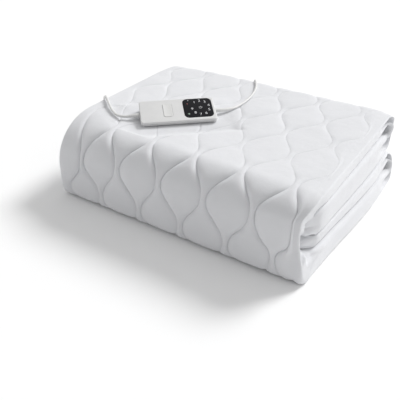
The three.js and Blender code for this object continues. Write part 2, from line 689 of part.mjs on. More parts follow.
// The plug lies flat beside the coil, its pins pointing away along +Y
const PLUG = { x: -287, y: 90, width: 35.3, height: 13.7, length: 36, pinSpacing: 18.6 };
const TAIL_ROUTE = [
  [-277.7, 32, 13.3], [-277.7, 47, 13], [-278.4, 58, 11.6], [-280.8, 69, 9.2],
  [-284.6, 78, 7.5], [-286.8, 84.6, 6.9], [-287, 89.5, 6.85],
];
const PIN = { radius: 2, length: 19, steps: 14 };

function plugGeometry() {
  const middle = PLUG.height / 2;
  const axis = curveThrough([
    [PLUG.x, PLUG.y, middle], [PLUG.x, PLUG.y + PLUG.length / 2, middle],
    [PLUG.x, PLUG.y + PLUG.length, middle],
  ]);
  const rows = [
    { at: 0, wide: 3.4, high: 3.4 },
    { at: 0.3, wide: 4.6, high: 4.6 },
    { at: 0.42, wide: 9, high: 6.2 },
    { at: 0.6, wide: 14.5, high: middle },
    { at: 0.9, wide: PLUG.width / 2, high: middle },
    { at: 1, wide: PLUG.width / 2 - 0.8, high: middle - 0.8 },
  ];
  return sleeve(axis, rows, 20);
}

function pinGeometry() {
  const profile = [
    new THREE.Vector2(0, 0), new THREE.Vector2(PIN.radius, 0),
    new THREE.Vector2(PIN.radius, PIN.length - 1.2), new THREE.Vector2(PIN.radius - 0.9, PIN.length),
    new THREE.Vector2(0, PIN.length),
  ];
  return new THREE.LatheGeometry(profile, PIN.steps);
}

const finish = (color, roughness, metalness = 0) => (
  new THREE.MeshStandardMaterial({ color, roughness, metalness }));
const quiltWhite = finish(0xeeeff3, 0.92);
const mouldedWhite = finish(0xe9e9e8, 0.42);
const leadWhite = finish(0xe6e6e4, 0.5);
const displayBlack = finish(0x1f1e22, 0.12);
const strapGrey = finish(0xc9c9c7, 0.8);
const pinMetal = finish(0xc8c9cc, 0.3, 1);

const blanket = new THREE.Group();

function place(name, geometry, material, parent = blanket) {
  const mesh = new THREE.Mesh(geometry, material);
  mesh.name = name;
  parent.add(mesh);
  return mesh;
}

place('blanket', blanketGeometry(), quiltWhite);

const control = new THREE.Group();
controlPlace.decompose(control.position, control.quaternion, control.scale);
blanket.add(control);
place('control_base', controlBaseGeometry(), mouldedWhite, control);
place('control_cover', controlCoverGeometry(), mouldedWhite, control);
place('display_panel', displayGeometry(), displayBlack, control);
place('press_key', keyGeometry(), mouldedWhite, control);

place('mains_relief', sleeve(curveThrough(MAINS_RELIEF_ROUTE), [
  { at: 0, wide: 4.4, high: 3.9 },
  { at: 0.35, wide: 4.1, high: 3.7 },
  { at: 1, wide: 3, high: 3 },
]), mouldedWhite);
place('mains_lead', trimmedLead(MAINS_ROUTE, 32), leadWhite);
place('mains_coil', coilGeometry(), leadWhite);
place('coil_tie', tieGeometry(), strapGrey);
place('mains_tail', trimmedLead(TAIL_ROUTE, 7), leadWhite);
place('plug_body', plugGeometry(), mouldedWhite);
['a', 'b'].forEach((letter, i) => {
  const pin = place(`plug_pin_${letter}`, pinGeometry(), pinMetal);
  pin.position.set(PLUG.x + (i - 0.5) * PLUG.pinSpacing, PLUG.y + PLUG.length + 0.3, PLUG.height / 2);
});

place('blanket_relief', sleeve(curveThrough(BLANKET_RELIEF_ROUTE), [
  { at: 0, wide: 4.6, high: 4 },
  { at: 0.3, wide: 4.2, high: 3.8 },
  { at: 0.65, wide: 3.6, high: 3.4 },
  { at: 1, wide: 3, high: 3 },
]), mouldedWhite);
place('blanket_lead', leadGeometry(BLANKET_ROUTE, 27), leadWhite);
place('blanket_gland', sleeve(curveThrough(GLAND_ROUTE), [
  { at: 0, wide: 3, high: 3 },
  { at: 0.5, wide: 3.4, high: 3 },
  { at: 1, wide: 3.8, high: 2.6 },
]), mouldedWhite);

export default blanket;
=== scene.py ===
# %% [markdown]
# # A folded electric blanket
# The object is a white quilted underblanket, folded into a block, with its wired control lying on top.
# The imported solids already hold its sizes, its folds and its moving key. This lesson dresses them:
# it makes each visible piece again as a fine mesh in the same place, and gives each a finish.
# The frame is loaded first, because every piece takes its place from it.

# %% Load the frame
from math import cos, pi, radians, sin

import bpy
import numpy as np
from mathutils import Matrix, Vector
from mathutils.geometry import tessellate_polygon


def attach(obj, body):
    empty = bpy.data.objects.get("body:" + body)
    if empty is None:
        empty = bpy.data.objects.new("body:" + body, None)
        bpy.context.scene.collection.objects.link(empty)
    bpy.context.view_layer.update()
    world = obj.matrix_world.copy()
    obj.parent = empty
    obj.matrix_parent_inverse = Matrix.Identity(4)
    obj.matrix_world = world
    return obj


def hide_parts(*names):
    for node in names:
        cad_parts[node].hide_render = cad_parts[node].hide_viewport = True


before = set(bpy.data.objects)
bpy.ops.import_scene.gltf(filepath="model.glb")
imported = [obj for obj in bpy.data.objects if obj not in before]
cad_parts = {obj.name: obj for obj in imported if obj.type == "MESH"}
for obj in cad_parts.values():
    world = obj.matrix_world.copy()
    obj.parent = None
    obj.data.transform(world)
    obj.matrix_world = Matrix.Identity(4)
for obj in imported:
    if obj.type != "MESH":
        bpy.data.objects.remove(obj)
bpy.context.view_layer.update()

MM = 0.001               # all sizes below are in millimetres, and meshes are in metres
BLANKET_BODY = "folded_blanket"
KEY_BODY = "key"

# %% [markdown]
# ## The camera
# The view looks down on the blanket from its right front corner. Its place was worked out from the
# regular spacing of the quilted lines, so that the lines run where a real quilt's lines would.

# %% Camera
CAMERA = {"place": (436.0, -786.3, 565.6), "down": 0.5883, "left": 0.5737, "lens": 48.48, "sensor": 36.0}

camera_data = bpy.data.cameras.new("photo_view")
camera_data.lens = CAMERA["lens"]
camera_data.sensor_width = CAMERA["sensor"]
camera = bpy.data.objects.new("photo_view", camera_data)
camera.location = Vector(CAMERA["place"]) * MM
camera.rotation_euler = (pi / 2 - CAMERA["down"], 0, CAMERA["left"])
bpy.context.scene.collection.objects.link(camera)
bpy.context.scene.camera = camera
print("camera at", tuple(round(v, 3) for v in camera.location))

# %% [markdown]
# ## Small tools
# Every mesh here is a grid of points worked out as one numpy array, with faces between neighbours.
# `smooth` and `mix` shape the curves, `grid_faces` joins the points, and `make_piece` hands the arrays
# to Blender in one go. A closed piece is turned inside out if its volume comes out negative.

# %% Helpers for shapes
def smooth(low, high, value):
    """0 below low, 1 above high, and between them the S-curve 3t^2 - 2t^3 of the share t."""
    t = np.clip((np.asarray(value, float) - low) / (high - low), 0, 1)
    return t * t * (3 - 2 * t)


def mix(start, end, share):
    """start where the share is 0, end where it is 1, and a straight change between."""
    return start + (end - start) * share


def grid_faces(rows, columns, ring=True, loop=False):
    """Quads between the points of a grid. ring joins the last column to the first, loop the rows."""
    r = np.arange(rows if loop else rows - 1)[:, None]
    c = np.arange(columns if ring else columns - 1)[None, :]
    next_r = (r + 1) % rows
    next_c = (c + 1) % columns
    corners = [r * columns + c, r * columns + next_c, next_r * columns + next_c, next_r * columns + c]
    return np.stack(np.broadcast_arrays(*corners), -1).reshape(-1, 4)


def signed_volume(points, faces):
    """Sum over fans of triangles of a . (b x c) / 6, positive where the faces point out."""
    total = 0.0
    for block in faces:
        a = points[block[:, 0]]
        for k in range(1, block.shape[1] - 1):
            b, c = points[block[:, k]], points[block[:, k + 1]]
            total += np.einsum("ij,ij->", a, np.cross(b, c)) / 6
    return total


def make_piece(name, points, faces, sharp=None):
    """A mesh object from points in millimetres and a list of face arrays, one array for each
    number of corners. Faces are smooth, and edges bent by more than sharp degrees stay crisp."""
    points = np.asarray(points, float).reshape(-1, 3)
    if signed_volume(points, faces) < 0:
        faces = [block[:, ::-1] for block in faces]
    totals = np.concatenate([np.full(len(block), block.shape[1]) for block in faces])
    corners = np.concatenate([block.ravel() for block in faces])
    mesh = bpy.data.meshes.new(name)
    mesh.vertices.add(len(points))
    mesh.vertices.foreach_set("co", (points * MM).astype(np.float32).ravel())
    mesh.loops.add(len(corners))
    mesh.loops.foreach_set("vertex_index", corners.astype(np.int32))
    mesh.polygons.add(len(totals))
    starts = np.concatenate([[0], np.cumsum(totals)[:-1]])
    mesh.polygons.foreach_set("loop_start", starts.astype(np.int32))
    mesh.update(calc_edges=True)
    mesh.polygons.foreach_set("use_smooth", np.ones(len(totals), bool))
    if sharp:
        mesh.set_sharp_from_angle(angle=radians(sharp))
    piece = bpy.data.objects.new(name, mesh)
    bpy.context.scene.collection.objects.link(piece)
    return piece


def settle_piece(piece, material, nodes=(), body=BLANKET_BODY):
    """Gives a finished piece its material, its body and the solids it stands for."""
    piece.data.materials.append(material)
    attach(piece, body)
    if nodes:
        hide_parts(*nodes)
    faces = len(piece.data.polygons) if piece.type == "MESH" else 0
    print(piece.name, "rides on", body, "with", faces, "faces")
    return piece


def loft(name, rings, sharp=None):
    """A closed body through rings of equal counts, one after the other, with a flat cap at each end."""
    rings = np.asarray(rings, float)
    rows, columns = rings.shape[:2]
    last = (rows - 1) * columns
    caps = np.array([np.arange(columns)[::-1], last + np.arange(columns)])
    return make_piece(name, rings, [grid_faces(rows, columns), caps], sharp)

# %% [markdown]
# ## The leads
# Two white round leads come out of the control. The mains lead runs over the left end to the floor, where
# its spare length is wound into a coil held by a strap, and ends in its plug. The blanket lead goes over
# the back edge and into the cloth. A lead keeps its length, so it is a curve through points that were
# placed on what carries it, swept with a round section. The coil's turns come from a formula.

# %% Routes
LEAD = 4.8
MAINS_RELIEF_ROUTE = [(-140.6, -94.7, 153.3), (-147.8, -101, 153), (-155.2, -106.9, 152.3)]
MAINS_ROUTE = [
    (-163, -111.8, 151.5), (-172, -112.6, 150.7), (-182, -110.4, 150.1),
    (-192, -105.4, 149.9), (-202.5, -98.5, 149.8), (-213, -90.5, 149.7), (-223.5, -82, 149.6),
    (-234, -73.2, 149.5), (-243, -65.4, 149.4), (-250.4, -59, 149.2), (-258.8, -52.4, 147.6),
    (-266, -47.5, 142.9), (-270.7, -44.2, 135.8), (-272.4, -42, 127.4), (-272.8, -39.6, 112),
    (-272.8, -36.6, 92), (-272.8, -33.6, 72), (-272.8, -30.6, 52), (-273.2, -27.2, 33),
    (-274.3, -23, 19.5), (-276, -16, 9.2), (-277.2, -6.5, 3.8), (-277.6, 4, 2.5), (-277.7, 16, 3),
]
TAIL_ROUTE = [
    (-277.7, 47, 13), (-278.4, 58, 11.6), (-280.8, 69, 9.2), (-284.6, 78, 7.5), (-286.8, 84.6, 6.9),
    (-287, 92, 6.85), (-287, 100, 6.85),
]
BLANKET_RELIEF_ROUTE = [
    (-37.4, -2.8, 153.3), (-30.2, 4.3, 152.9), (-24.2, 13.1, 152.1), (-19.6, 22.7, 151.3),
]
BLANKET_ROUTE = [
    (-16.6, 31.4, 150.6), (-14.9, 43, 150.1), (-14.3, 56, 150),
    (-14, 69, 150), (-14.6, 82, 150), (-16.2, 96, 150), (-19, 110, 150),
    (-23, 125, 150), (-28.4, 140, 150), (-35, 154, 150), (-42.4, 167, 149.9),
    (-49.8, 179, 148.2), (-56.6, 190, 143.2), (-61.8, 198.6, 134.6), (-65.2, 204.2, 122.6),
    (-67.2, 206.6, 109.6), (-68.2, 207, 94.5), (-69, 204.9, 85.3), (-69.4, 199.5, 78.4),
    (-69.8, 193.2, 74.8), (-70, 190.4, 74),
]
GLAND_ROUTE = [(-70, 190.1, 73.9), (-70, 185.6, 72.8), (-70, 181.2, 72.1)]
COIL = {"x": -310, "y": 32, "radius": 27.5, "rest": 1.5, "turns": 8, "cell": 4.8}
# Where each turn lies in the coil's square section: sideways from its middle, and up from the bottom
COIL_CELLS = {
    "sideways": np.array([1, 0, -1, -1, -1, 0, 0, 1, 1]),
    "up": np.array([0, 0, 0, 1, 2, 2, 1, 1, 2]),
}
CHANGE = {"first": 240, "apart": 34, "over": 120}    # degrees at which a turn moves to the next cell


def smooth_route(points, step=2.0):
    """A curve through all points. Between two of them it blends two parabolas, whose knots lie as far
    apart as the square root of the distance, which keeps it from looping at close points."""
    p = np.asarray(points, float)
    p = np.vstack([2 * p[0] - p[1], p, 2 * p[-1] - p[-2]])
    gaps = np.sqrt(np.linalg.norm(np.diff(p, axis=0), axis=1))
    knots = np.concatenate([[0], np.cumsum(gaps)])
    pieces = []
    for i in range(1, len(p) - 2):
        count = max(int(np.linalg.norm(p[i + 1] - p[i]) / step), 1)
        t = np.linspace(knots[i], knots[i + 1], count, endpoint=False)[:, None]
        t0, t1, t2, t3 = knots[i - 1:i + 3]
        a1 = mix(p[i - 1], p[i], (t - t0) / (t1 - t0))
        a2 = mix(p[i], p[i + 1], (t - t1) / (t2 - t1))
        a3 = mix(p[i + 1], p[i + 2], (t - t2) / (t3 - t2))
        b1 = mix(a1, a2, (t - t0) / (t2 - t0))
        b2 = mix(a2, a3, (t - t1) / (t3 - t1))
        pieces.append(mix(b1, b2, (t - t1) / (t2 - t1)))
    return np.vstack([*pieces, p[-2]])


def coil_route():
    """Turns round the coil's axis. Turn n starts in cell n and moves to cell n + 1 by an S-curve of the
    angle, each a little before the turn that follows it, so that no two lie in one place."""
    angle = np.radians(np.arange(0, 360 * COIL["turns"], 15))
    turn_number = np.floor(angle / (2 * pi))
    in_turn = np.degrees(angle - 2 * pi * turn_number)
    start = CHANGE["first"] - CHANGE["apart"] * turn_number
    cell = turn_number + smooth(0, 1, (in_turn - start) / CHANGE["over"])
    order = np.arange(len(COIL_CELLS["up"]))
    radius = COIL["radius"] + COIL["cell"] * np.interp(cell, order, COIL_CELLS["sideways"])
    height = COIL["rest"] + LEAD / 2 + COIL["cell"] * np.interp(cell, order, COIL_CELLS["up"])
    return np.stack([COIL["x"] + radius * np.cos(angle), COIL["y"] + radius * np.sin(angle), height], -1)


def route_length(points):
    """The sum of the distances from each point to the next."""
    return np.linalg.norm(np.diff(points, axis=0), axis=1).sum()


mains_line = smooth_route([*MAINS_RELIEF_ROUTE, *MAINS_ROUTE, *coil_route(), *TAIL_ROUTE])
blanket_line = smooth_route([*BLANKET_RELIEF_ROUTE, *BLANKET_ROUTE, *GLAND_ROUTE[1:]])
for owner, line in (("mains", mains_line), ("blanket", blanket_line)):
    print(owner, "lead:", round(route_length(line)), "mm long")

# %% Leads as curves with a round section
def lead_curve(name, points):
    """One open line of close points, swept with a circle."""
    curve = bpy.data.curves.new(name, "CURVE")
    curve.dimensions = "3D"
    curve.bevel_depth = LEAD / 2 * MM
    curve.bevel_resolution = 4
    curve.use_fill_caps = True
    line = curve.splines.new("POLY")
    line.points.add(len(points) - 1)
    weighted = np.hstack([points * MM, np.ones((len(points), 1))])       # the fourth number is a weight
    line.points.foreach_set("co", weighted.astype(np.float32).ravel())
    piece = bpy.data.objects.new(name, curve)
    bpy.context.scene.collection.objects.link(piece)
    return piece


mains_cord = lead_curve("mains_cord", mains_line)
blanket_cord = lead_curve("blanket_cord", blanket_line)
print("each lead is", LEAD, "mm across")

# %% [markdown]
# ## What is on the leads
# Where a lead leaves a moulding, a soft tapered sleeve keeps it from kinking. The sleeves, the gland in
# the cloth and the plug's body are all one form: rings of a rounded section along a short path, so one
# function makes them. They could be lathed straight and bent by a modifier, but rings along the lead's
# own path meet it exactly. Grip ribs and the slot in the longer sleeve are changes of the ring's size.

# %% Sleeves along a path
def sleeve_rings(route, rows, sides=40, count=60, squareness=1.0, change=None):
    """Rings along a route. rows gives at a share of the route the half width and half height; a cosine
    and sine raised to squareness round the ring or square it off. change(t, angle) scales the ring."""
    line = smooth_route(route, 0.3)
    along = np.concatenate([[0], np.cumsum(np.linalg.norm(np.diff(line, axis=0), axis=1))])
    t = np.linspace(0, 1, count)
    centre = np.stack([np.interp(t * along[-1], along, line[:, k]) for k in range(3)], -1)
    forward = np.gradient(centre, axis=0)
    forward /= np.linalg.norm(forward, axis=1, keepdims=True)
    across_way = np.stack([forward[:, 1], -forward[:, 0], 0 * t], -1)
    across_way /= np.linalg.norm(across_way, axis=1, keepdims=True)
    up_way = np.cross(across_way, forward)
    shares = [row[0] for row in rows]
    wide = np.interp(t, shares, [row[1] for row in rows])[:, None]
    high = np.interp(t, shares, [row[2] for row in rows])[:, None]
    angle = (2 * pi * (np.arange(sides) + 0.5) / sides)[None, :]
    scale = 1 if change is None else change(t[:, None], angle)
    u = np.sign(np.cos(angle)) * np.abs(np.cos(angle)) ** squareness * wide * scale
    v = np.sign(np.sin(angle)) * np.abs(np.sin(angle)) ** squareness * high * scale
    return centre[:, None, :] + u[..., None] * across_way[:, None, :] + v[..., None] * up_way[:, None, :]


# Shares of the sleeve's length between which a form grows and fades, and shares of its radius for depth
RIBS = {"grow": (0.16, 0.2), "fade": (0.84, 0.88), "count": 5, "depth": 0.1}
SLOT = {"grow": (0.1, 0.2), "fade": (0.55, 0.68), "angle": 1.9, "half_angle": 0.34, "depth": 0.42}


def between(t, look):
    """1 on the stretch that has the form, with a soft start and end."""
    return smooth(*look["grow"], t) * (1 - smooth(*look["fade"], t))


def ribbed(t, angle):
    """Shallow grooves round the sleeve, between a plain root and a plain tip: a cosine, squared."""
    wave_height = (0.5 + 0.5 * np.cos(2 * pi * RIBS["count"] * t)) ** 2
    return 1 - RIBS["depth"] * between(t, RIBS) * wave_height + 0 * angle


def slotted(t, angle):
    """A long soft slot in the upper side of the sleeve, where it is cut away to bend. Its depth
    round the sleeve is a bell curve of the angle."""
    upper = np.exp(-((angle - SLOT["angle"]) / SLOT["half_angle"]) ** 2)
    return 1 - SLOT["depth"] * between(t, SLOT) * upper


# Share of the route, half width and half height of each row
MAINS_RELIEF_ROWS = [(0, 4.4, 3.9), (0.03, 4.5, 4), (0.35, 4.1, 3.7), (0.97, 3, 3), (1, 2.7, 2.7)]
BLANKET_RELIEF_ROWS = [(0, 4.6, 4), (0.3, 4.2, 3.8), (0.65, 3.6, 3.4), (0.97, 3, 3), (1, 2.7, 2.7)]
GLAND_ROWS = [(0, 2.8, 2.8), (0.06, 3.05, 3), (0.5, 3.4, 3), (0.94, 3.8, 2.6), (1, 3.5, 2.3)]
CRISP = 50                          # degrees: edges of the soft mouldings that bend more stay sharp
mains_sleeve = loft("mains_sleeve", sleeve_rings(
    MAINS_RELIEF_ROUTE, MAINS_RELIEF_ROWS, change=ribbed), CRISP)
blanket_sleeve = loft("blanket_sleeve", sleeve_rings(
    BLANKET_RELIEF_ROUTE, BLANKET_RELIEF_ROWS, change=slotted), CRISP)
cloth_gland = loft("cloth_gland", sleeve_rings(GLAND_ROUTE, GLAND_ROWS), CRISP)
for piece in (mains_sleeve, blanket_sleeve, cloth_gland):
    print(piece.name, "has", len(piece.data.polygons), "faces")

# %% [markdown]
# ## The plug
# The plug at the far end is a flat moulded body that swells from the lead to a wide, round-cornered front
# with two metal pins. It is the same form as a sleeve, with a squarer section, so the same function
# makes it along a straight line. A pin is a stack of circles that close over its tip like a dome.

# %% Plug and pins
PLUG = {"x": -287, "y": 90, "height": 13.7, "length": 36, "spacing": 18.6}
PLUG_ROWS = [
    (0, 2.8, 2.8), (0.02, 3.4, 3.4), (0.3, 4.6, 4.6), (0.42, 9, 6.2), (0.5, 12.4, 6.6), (0.6, 14.5, 6.85),
    (0.9, 17.65, 6.85), (0.98, 17.65, 6.85), (1, 16.85, 6.05),
]
GRIPS = {"grow": (0.6, 0.64), "fade": (0.84, 0.88), "count": 26, "depth": 0.045, "narrowness": 6}
PIN = {"radius": 2, "length": 19, "dome": 0.07, "clear": 0.3, "sides": 28}


def grips(t, angle):
    """Grip ribs on the two narrow sides of the plug: a high power of the cosine keeps them there."""
    on_side = np.abs(np.cos(angle)) ** GRIPS["narrowness"]
    ribs = 0.5 + 0.5 * np.cos(2 * pi * GRIPS["count"] * t)
    return 1 - GRIPS["depth"] * on_side * between(t, GRIPS) * ribs


middle_z = PLUG["height"] / 2
plug_line = [(PLUG["x"], PLUG["y"] + share * PLUG["length"], middle_z) for share in (0, 0.5, 1)]
plug = loft("plug_moulding", sleeve_rings(
    plug_line, PLUG_ROWS, sides=72, count=110, squareness=0.62, change=grips), CRISP)


def pin_rings(x):
    """A round pin with a domed tip: circles whose radius follows a quarter ellipse at the end."""
    dome = PIN["dome"]
    t = np.concatenate([
        np.linspace(0, 1 - dome, 12), 1 - dome + dome * np.sin(np.linspace(0.2, 0.97, 7) * pi / 2)])
    over_dome = ((t - (1 - dome)) / dome).clip(0, 1)
    radius = PIN["radius"] * np.sqrt(np.clip(1 - over_dome ** 2, 0.02, 1))
    angle = 2 * pi * np.arange(PIN["sides"]) / PIN["sides"]
    y = PLUG["y"] + PLUG["length"] + PIN["clear"] + t * PIN["length"]
    ring = np.stack([np.cos(angle), 0 * angle, np.sin(angle)], -1)
    middle = np.stack([x + 0 * y, y, middle_z + 0 * y], -1)
    return middle[:, None, :] + radius[:, None, None] * ring


pins = [loft(f"plug_prong_{letter}", pin_rings(PLUG["x"] + (i - 0.5) * PLUG["spacing"]), CRISP)
        for i, letter in enumerate("ab")]
print("plug", PLUG["length"], "mm long, pins", PLUG["spacing"], "mm apart")

# %% [markdown]
# ## The strap
# The spare lead is held by a short strap of woven tape round one side of the coil. It could be a curve
# with a flat section, but a small loop between two rounded squares gives its thickness and its soft
# edges at once. Its inside keeps half a millimetre away from the turns of lead.

# %% Strap round the coil
TIE = {"wall": 1, "width": 6, "gap": 0.5, "corner": 2.4, "inner_corner": 1.6, "soft": 0.25}
TAPE_EDGE = 60                      # degrees: only edges that bend more stay sharp, as tape is soft
COIL_HALF = 1.5 * COIL["cell"]


def rounded_square(half, corner, steps=8):
    """Points round a square with round corners, starting at the middle of its upper side."""
    angle = np.radians(np.linspace(0, 90, steps))
    quarters = [(1, 1, 0), (-1, 1, 90), (-1, -1, 180), (1, -1, 270)]
    parts = [np.stack([sx * (half - corner) + corner * np.cos(angle + radians(turned)),
                       sy * (half - corner) + corner * np.sin(angle + radians(turned))], -1)
             for sx, sy, turned in quarters]
    return np.vstack(parts)


def strap_band():
    """A band of cloth tape: the loop between an inner and an outer rounded square, with soft edges."""
    inside, outside = COIL_HALF + TIE["gap"], COIL_HALF + TIE["gap"] + TIE["wall"]
    inner = rounded_square(inside, TIE["inner_corner"])
    outer = rounded_square(outside, TIE["corner"])
    half = TIE["width"] / 2
    soft = TIE["soft"]
    section = [(0, -half + soft), (0, half - soft), (soft, half), (1 - soft, half), (1, half - soft),
               (1, -half + soft), (1 - soft, -half), (soft, -half)]
    rings = []
    for share, along in section:
        loop = mix(inner, outer, share)
        x = COIL["x"] - COIL["radius"] + loop[:, 0]
        z = COIL["rest"] + COIL_HALF + loop[:, 1]
        rings.append(np.stack([x, COIL["y"] + along + 0 * x, z], -1))
    rings = np.array(rings)
    faces = [grid_faces(len(section), rings.shape[1], ring=True, loop=True)]
    return make_piece("coil_strap", rings, faces, TAPE_EDGE)


strap = strap_band()
print("strap", TIE["width"], "mm wide round", round(2 * COIL_HALF, 1), "mm of lead")

# %% [markdown]
# ## The folded cloth, 1: its driving sizes
# The real blanket is one padded cloth. It is folded in three across its width, which makes a band of
# three layers, and the band is folded like a double book, which makes four leaves one above the other.
# It could be draped by a simulation, but four tight folds of thick quilt tangle there. A section of the
# three layers, carried along the path of the band, gives the same folds with every size in hand.
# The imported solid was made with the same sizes. Only the leaves' ends, which show in the mouths of the
# folds, are finer here: the recess, its rolled ends and the round noses inside the front bend.

# %% Sizes of the folds
PITCH = 43.5                        # from one quilted line to the next
TOP = 145.7                         # height of the folded stack
LEAF = TOP / 4
LEAF_GAP = 0.6                      # half the air between two leaves
LEFT_X = -263                       # hemmed end
HEM = {"round": 4, "share": 0.3}
FOLD_X = 231                        # where the cloth starts to turn round at the right end
FRONT_Y = -201
BACK_Y = 201
BACK_TURN_Y = 169
LEAF_END_Y = -168
FRONT_THICKNESS = 30                # the band's three layers where they go down the front
FRONT_INNER_RADIUS = 33             # inside of the bend from the top leaf to the front
FOOT_INNER_RADIUS = 18              # inside of the bend from the front to the bottom leaf
VOID_RADIUS = 8                     # air inside the turns at the back
VOID_LENGTH = 55                    # over which that air closes up between the layers
NOSE_GAP = 1.8                      # between a leaf's round end and the bend that it lies in
HEM_EDGE = 6                        # rounding of the two hems inside the front bend

# The three layers of a leaf, as shares of its thickness from the outer face
LAYERS = {"outer": (0, 0.3), "tucked": (0.35, 0.65), "inner": (0.7, 1)}
TUCKED_EDGE = {"x": 168, "round": 4, "from": 0.44, "to": 0.56}
LEFT_FOLD = {"x": -253, "bulge": 7, "inside": 5, "inside_bulge": 1.5}
BENDS_X = (-168, 95, 180)           # where the levels start and stop changing, left to right
LEVELS = {                          # heights at which the leaves meet
    "left": np.array([0, 35.5, 71, 106, 142]),
    "middle": LEAF * np.arange(5),
    "right": np.array([0, 45, 68, 118, TOP]),
}
CORNERS = (                         # rounded off in plan, along a quarter ellipse from one Y to another
    {"name": "far right", "side": 1, "from": 172, "to": 203, "inwards": 18},
    {"name": "far left", "side": -1, "from": 112, "to": 203, "inwards": 24},
    {"name": "near left", "side": -1, "from": -88, "to": -203, "inwards": 12},
)
CORNER_START_X = 130                # the changes of an end fade out towards the middle of the stack
CURVE_MOST = 0.97                   # share of a quarter circle that is used, short of its steep end
# The foot of the right end stands out towards the back, and its front edge is drawn in
FOOT_FLARE = {"near": -6, "near_y": -185, "far": 13, "far_y": 100, "full": 20, "none": 92}
FRONT_DRAW = {"inwards": 14.5, "from": -120, "to": -196, "full": 110, "fading": 112, "high": 150}
# The leaves' ends lie back in a recess near the front, from one Y to another and between two heights
RECESS = {"inwards": 17, "back": -146, "full_back": -160, "full_front": -172, "front": -182,
          "low": 34, "high": 108, "roll_front": -170}
# The rolled ends of the leaves that show in the recess: their heights, half heights and how far they
# stand out of it or, at the creases between them, fall back
ROLLS = {
    "middle": np.array([94, 78, 58, 44]), "half": np.array([8.5, 8, 8, 6]),
    "out": np.array([14, 15, 13, 9]), "crease": 3,
}
RIM = {"from": 0.2, "to": 0.38}     # share of the thickness over which a rim falls into its mouth
MOUTH = {"length": 52, "full": 6, "depth": 7}                     # mouths of the turns at the back
FRONT_MOUTH = {"low": 24, "high": 100, "depth": 14, "flatness": 0.6}
BULGE_FLATNESS = {"front": 0.9, "else": 0.45}                     # powers: the smaller, the boxier
WALL = {"share": 0.2, "inset": 3, "bulge": 9}                     # the layers' inner side at the end
# The front falls along a quarter ellipse, wider at the left end, and turns under on a smaller one
FRONT = {
    "top_reach": 55, "top_drop": 59, "left_reach": 106, "left_drop": 85.7,
    "foot_reach": 20, "foot_rise": 22,
}
LEFT_LENGTH = 120                   # over which the left end's wider curve changes into the other
print("leaf", round(LEAF, 1), "mm thick, four of them", TOP, "mm high")

# %% [markdown]
# ## The folded cloth, 2: its path
# Seen from the side, the band starts at the hem of the second leaf, turns at the back, runs over the top,
# down the front, under the bottom, turns at the back again and ends at the hem of the third leaf.
# Each stretch is a line or part of an ellipse for the outer face and another for the inner face.
# Stretches that show get a row of points every few millimetres, hidden ones far fewer.

# %% Where the stretches meet, worked out from the driving sizes
front_inner_y = FRONT_Y + FRONT_THICKNESS
inner_turn_y = front_inner_y + FRONT_INNER_RADIUS
upper_z = 3 * LEAF + LEAF_GAP
lower_z = LEAF - LEAF_GAP
front_turn_z = upper_z - FRONT_INNER_RADIUS
bend_radius = LEAF - LEAF_GAP / 2
foot_inner_y = front_inner_y + FOOT_INNER_RADIUS
foot_inner_z = lower_z + FOOT_INNER_RADIUS
top_front_y = FRONT_Y + FRONT["top_reach"]
left_front_y = FRONT_Y + FRONT["left_reach"]
top_front_z = TOP - FRONT["top_drop"]
left_front_z = TOP - FRONT["left_drop"]
foot_y = FRONT_Y + FRONT["foot_reach"]
back_reach = BACK_Y - BACK_TURN_Y
print("front bend is", round(FRONT_THICKNESS), "mm thick, back turns reach", back_reach, "mm")

# %% Stretches of the path and of the right end
def straight(y0, z0, y1, z1):
    """A straight run: both numbers change evenly with the share t."""
    return lambda t: np.stack([mix(y0, y1, t), mix(z0, z1, t)], -1)


def turn(y, z, reach, rise, start, end):
    """Part of an ellipse round (y, z), from the start to the end angle in degrees."""
    def at(t):
        angle = np.radians(mix(start, end, t))
        return np.stack([y + reach * np.cos(angle), z + rise * np.sin(angle)], -1)
    return at


def leaf_inner(y0, y1, z, side):
    """A leaf's inner face: level, but lifting off by the air in the turn at the back."""
    def at(t):
        y = mix(y0, y1, t)
        air = mix(LEAF_GAP, VOID_RADIUS, smooth(BACK_TURN_Y - VOID_LENGTH, BACK_TURN_Y, y))
        return np.stack([y, z + side * air], -1)
    return at


def hemmed(path, side, bend=0):
    """A leaf's end: rounded at the edge, and on its inner face as round as the bend that it lies in.
    The bend is a quarter circle, so past its middle the face leaves the level by the circle's fall."""
    def at(t):
        points = path(t)
        y = points[:, 0]
        rounded = HEM_EDGE * (1 - smooth(LEAF_END_Y, LEAF_END_Y + HEM_EDGE, y))
        radius = bend - NOSE_GAP
        past = np.clip(front_inner_y + bend - y, 0, CURVE_MOST * radius)
        fall = radius - np.sqrt(radius ** 2 - past ** 2) if bend else rounded
        points[:, 1] += side * fall
        return points
    return at


def growing(near, far):
    """The right end stands out more from the front to the back."""
    return lambda t, y: mix(near, far, smooth(FOOT_FLARE["near_y"], FOOT_FLARE["far_y"], y))


def changing(start, end):
    """The right end's stand-out changes evenly along the run."""
    return lambda t, y: mix(start, end, t)


def swelling(start, middle, end):
    """It swells to the middle value half way along the run."""
    return lambda t, y: mix(np.where(t < 0.5, start, end), middle, np.sin(pi * t))

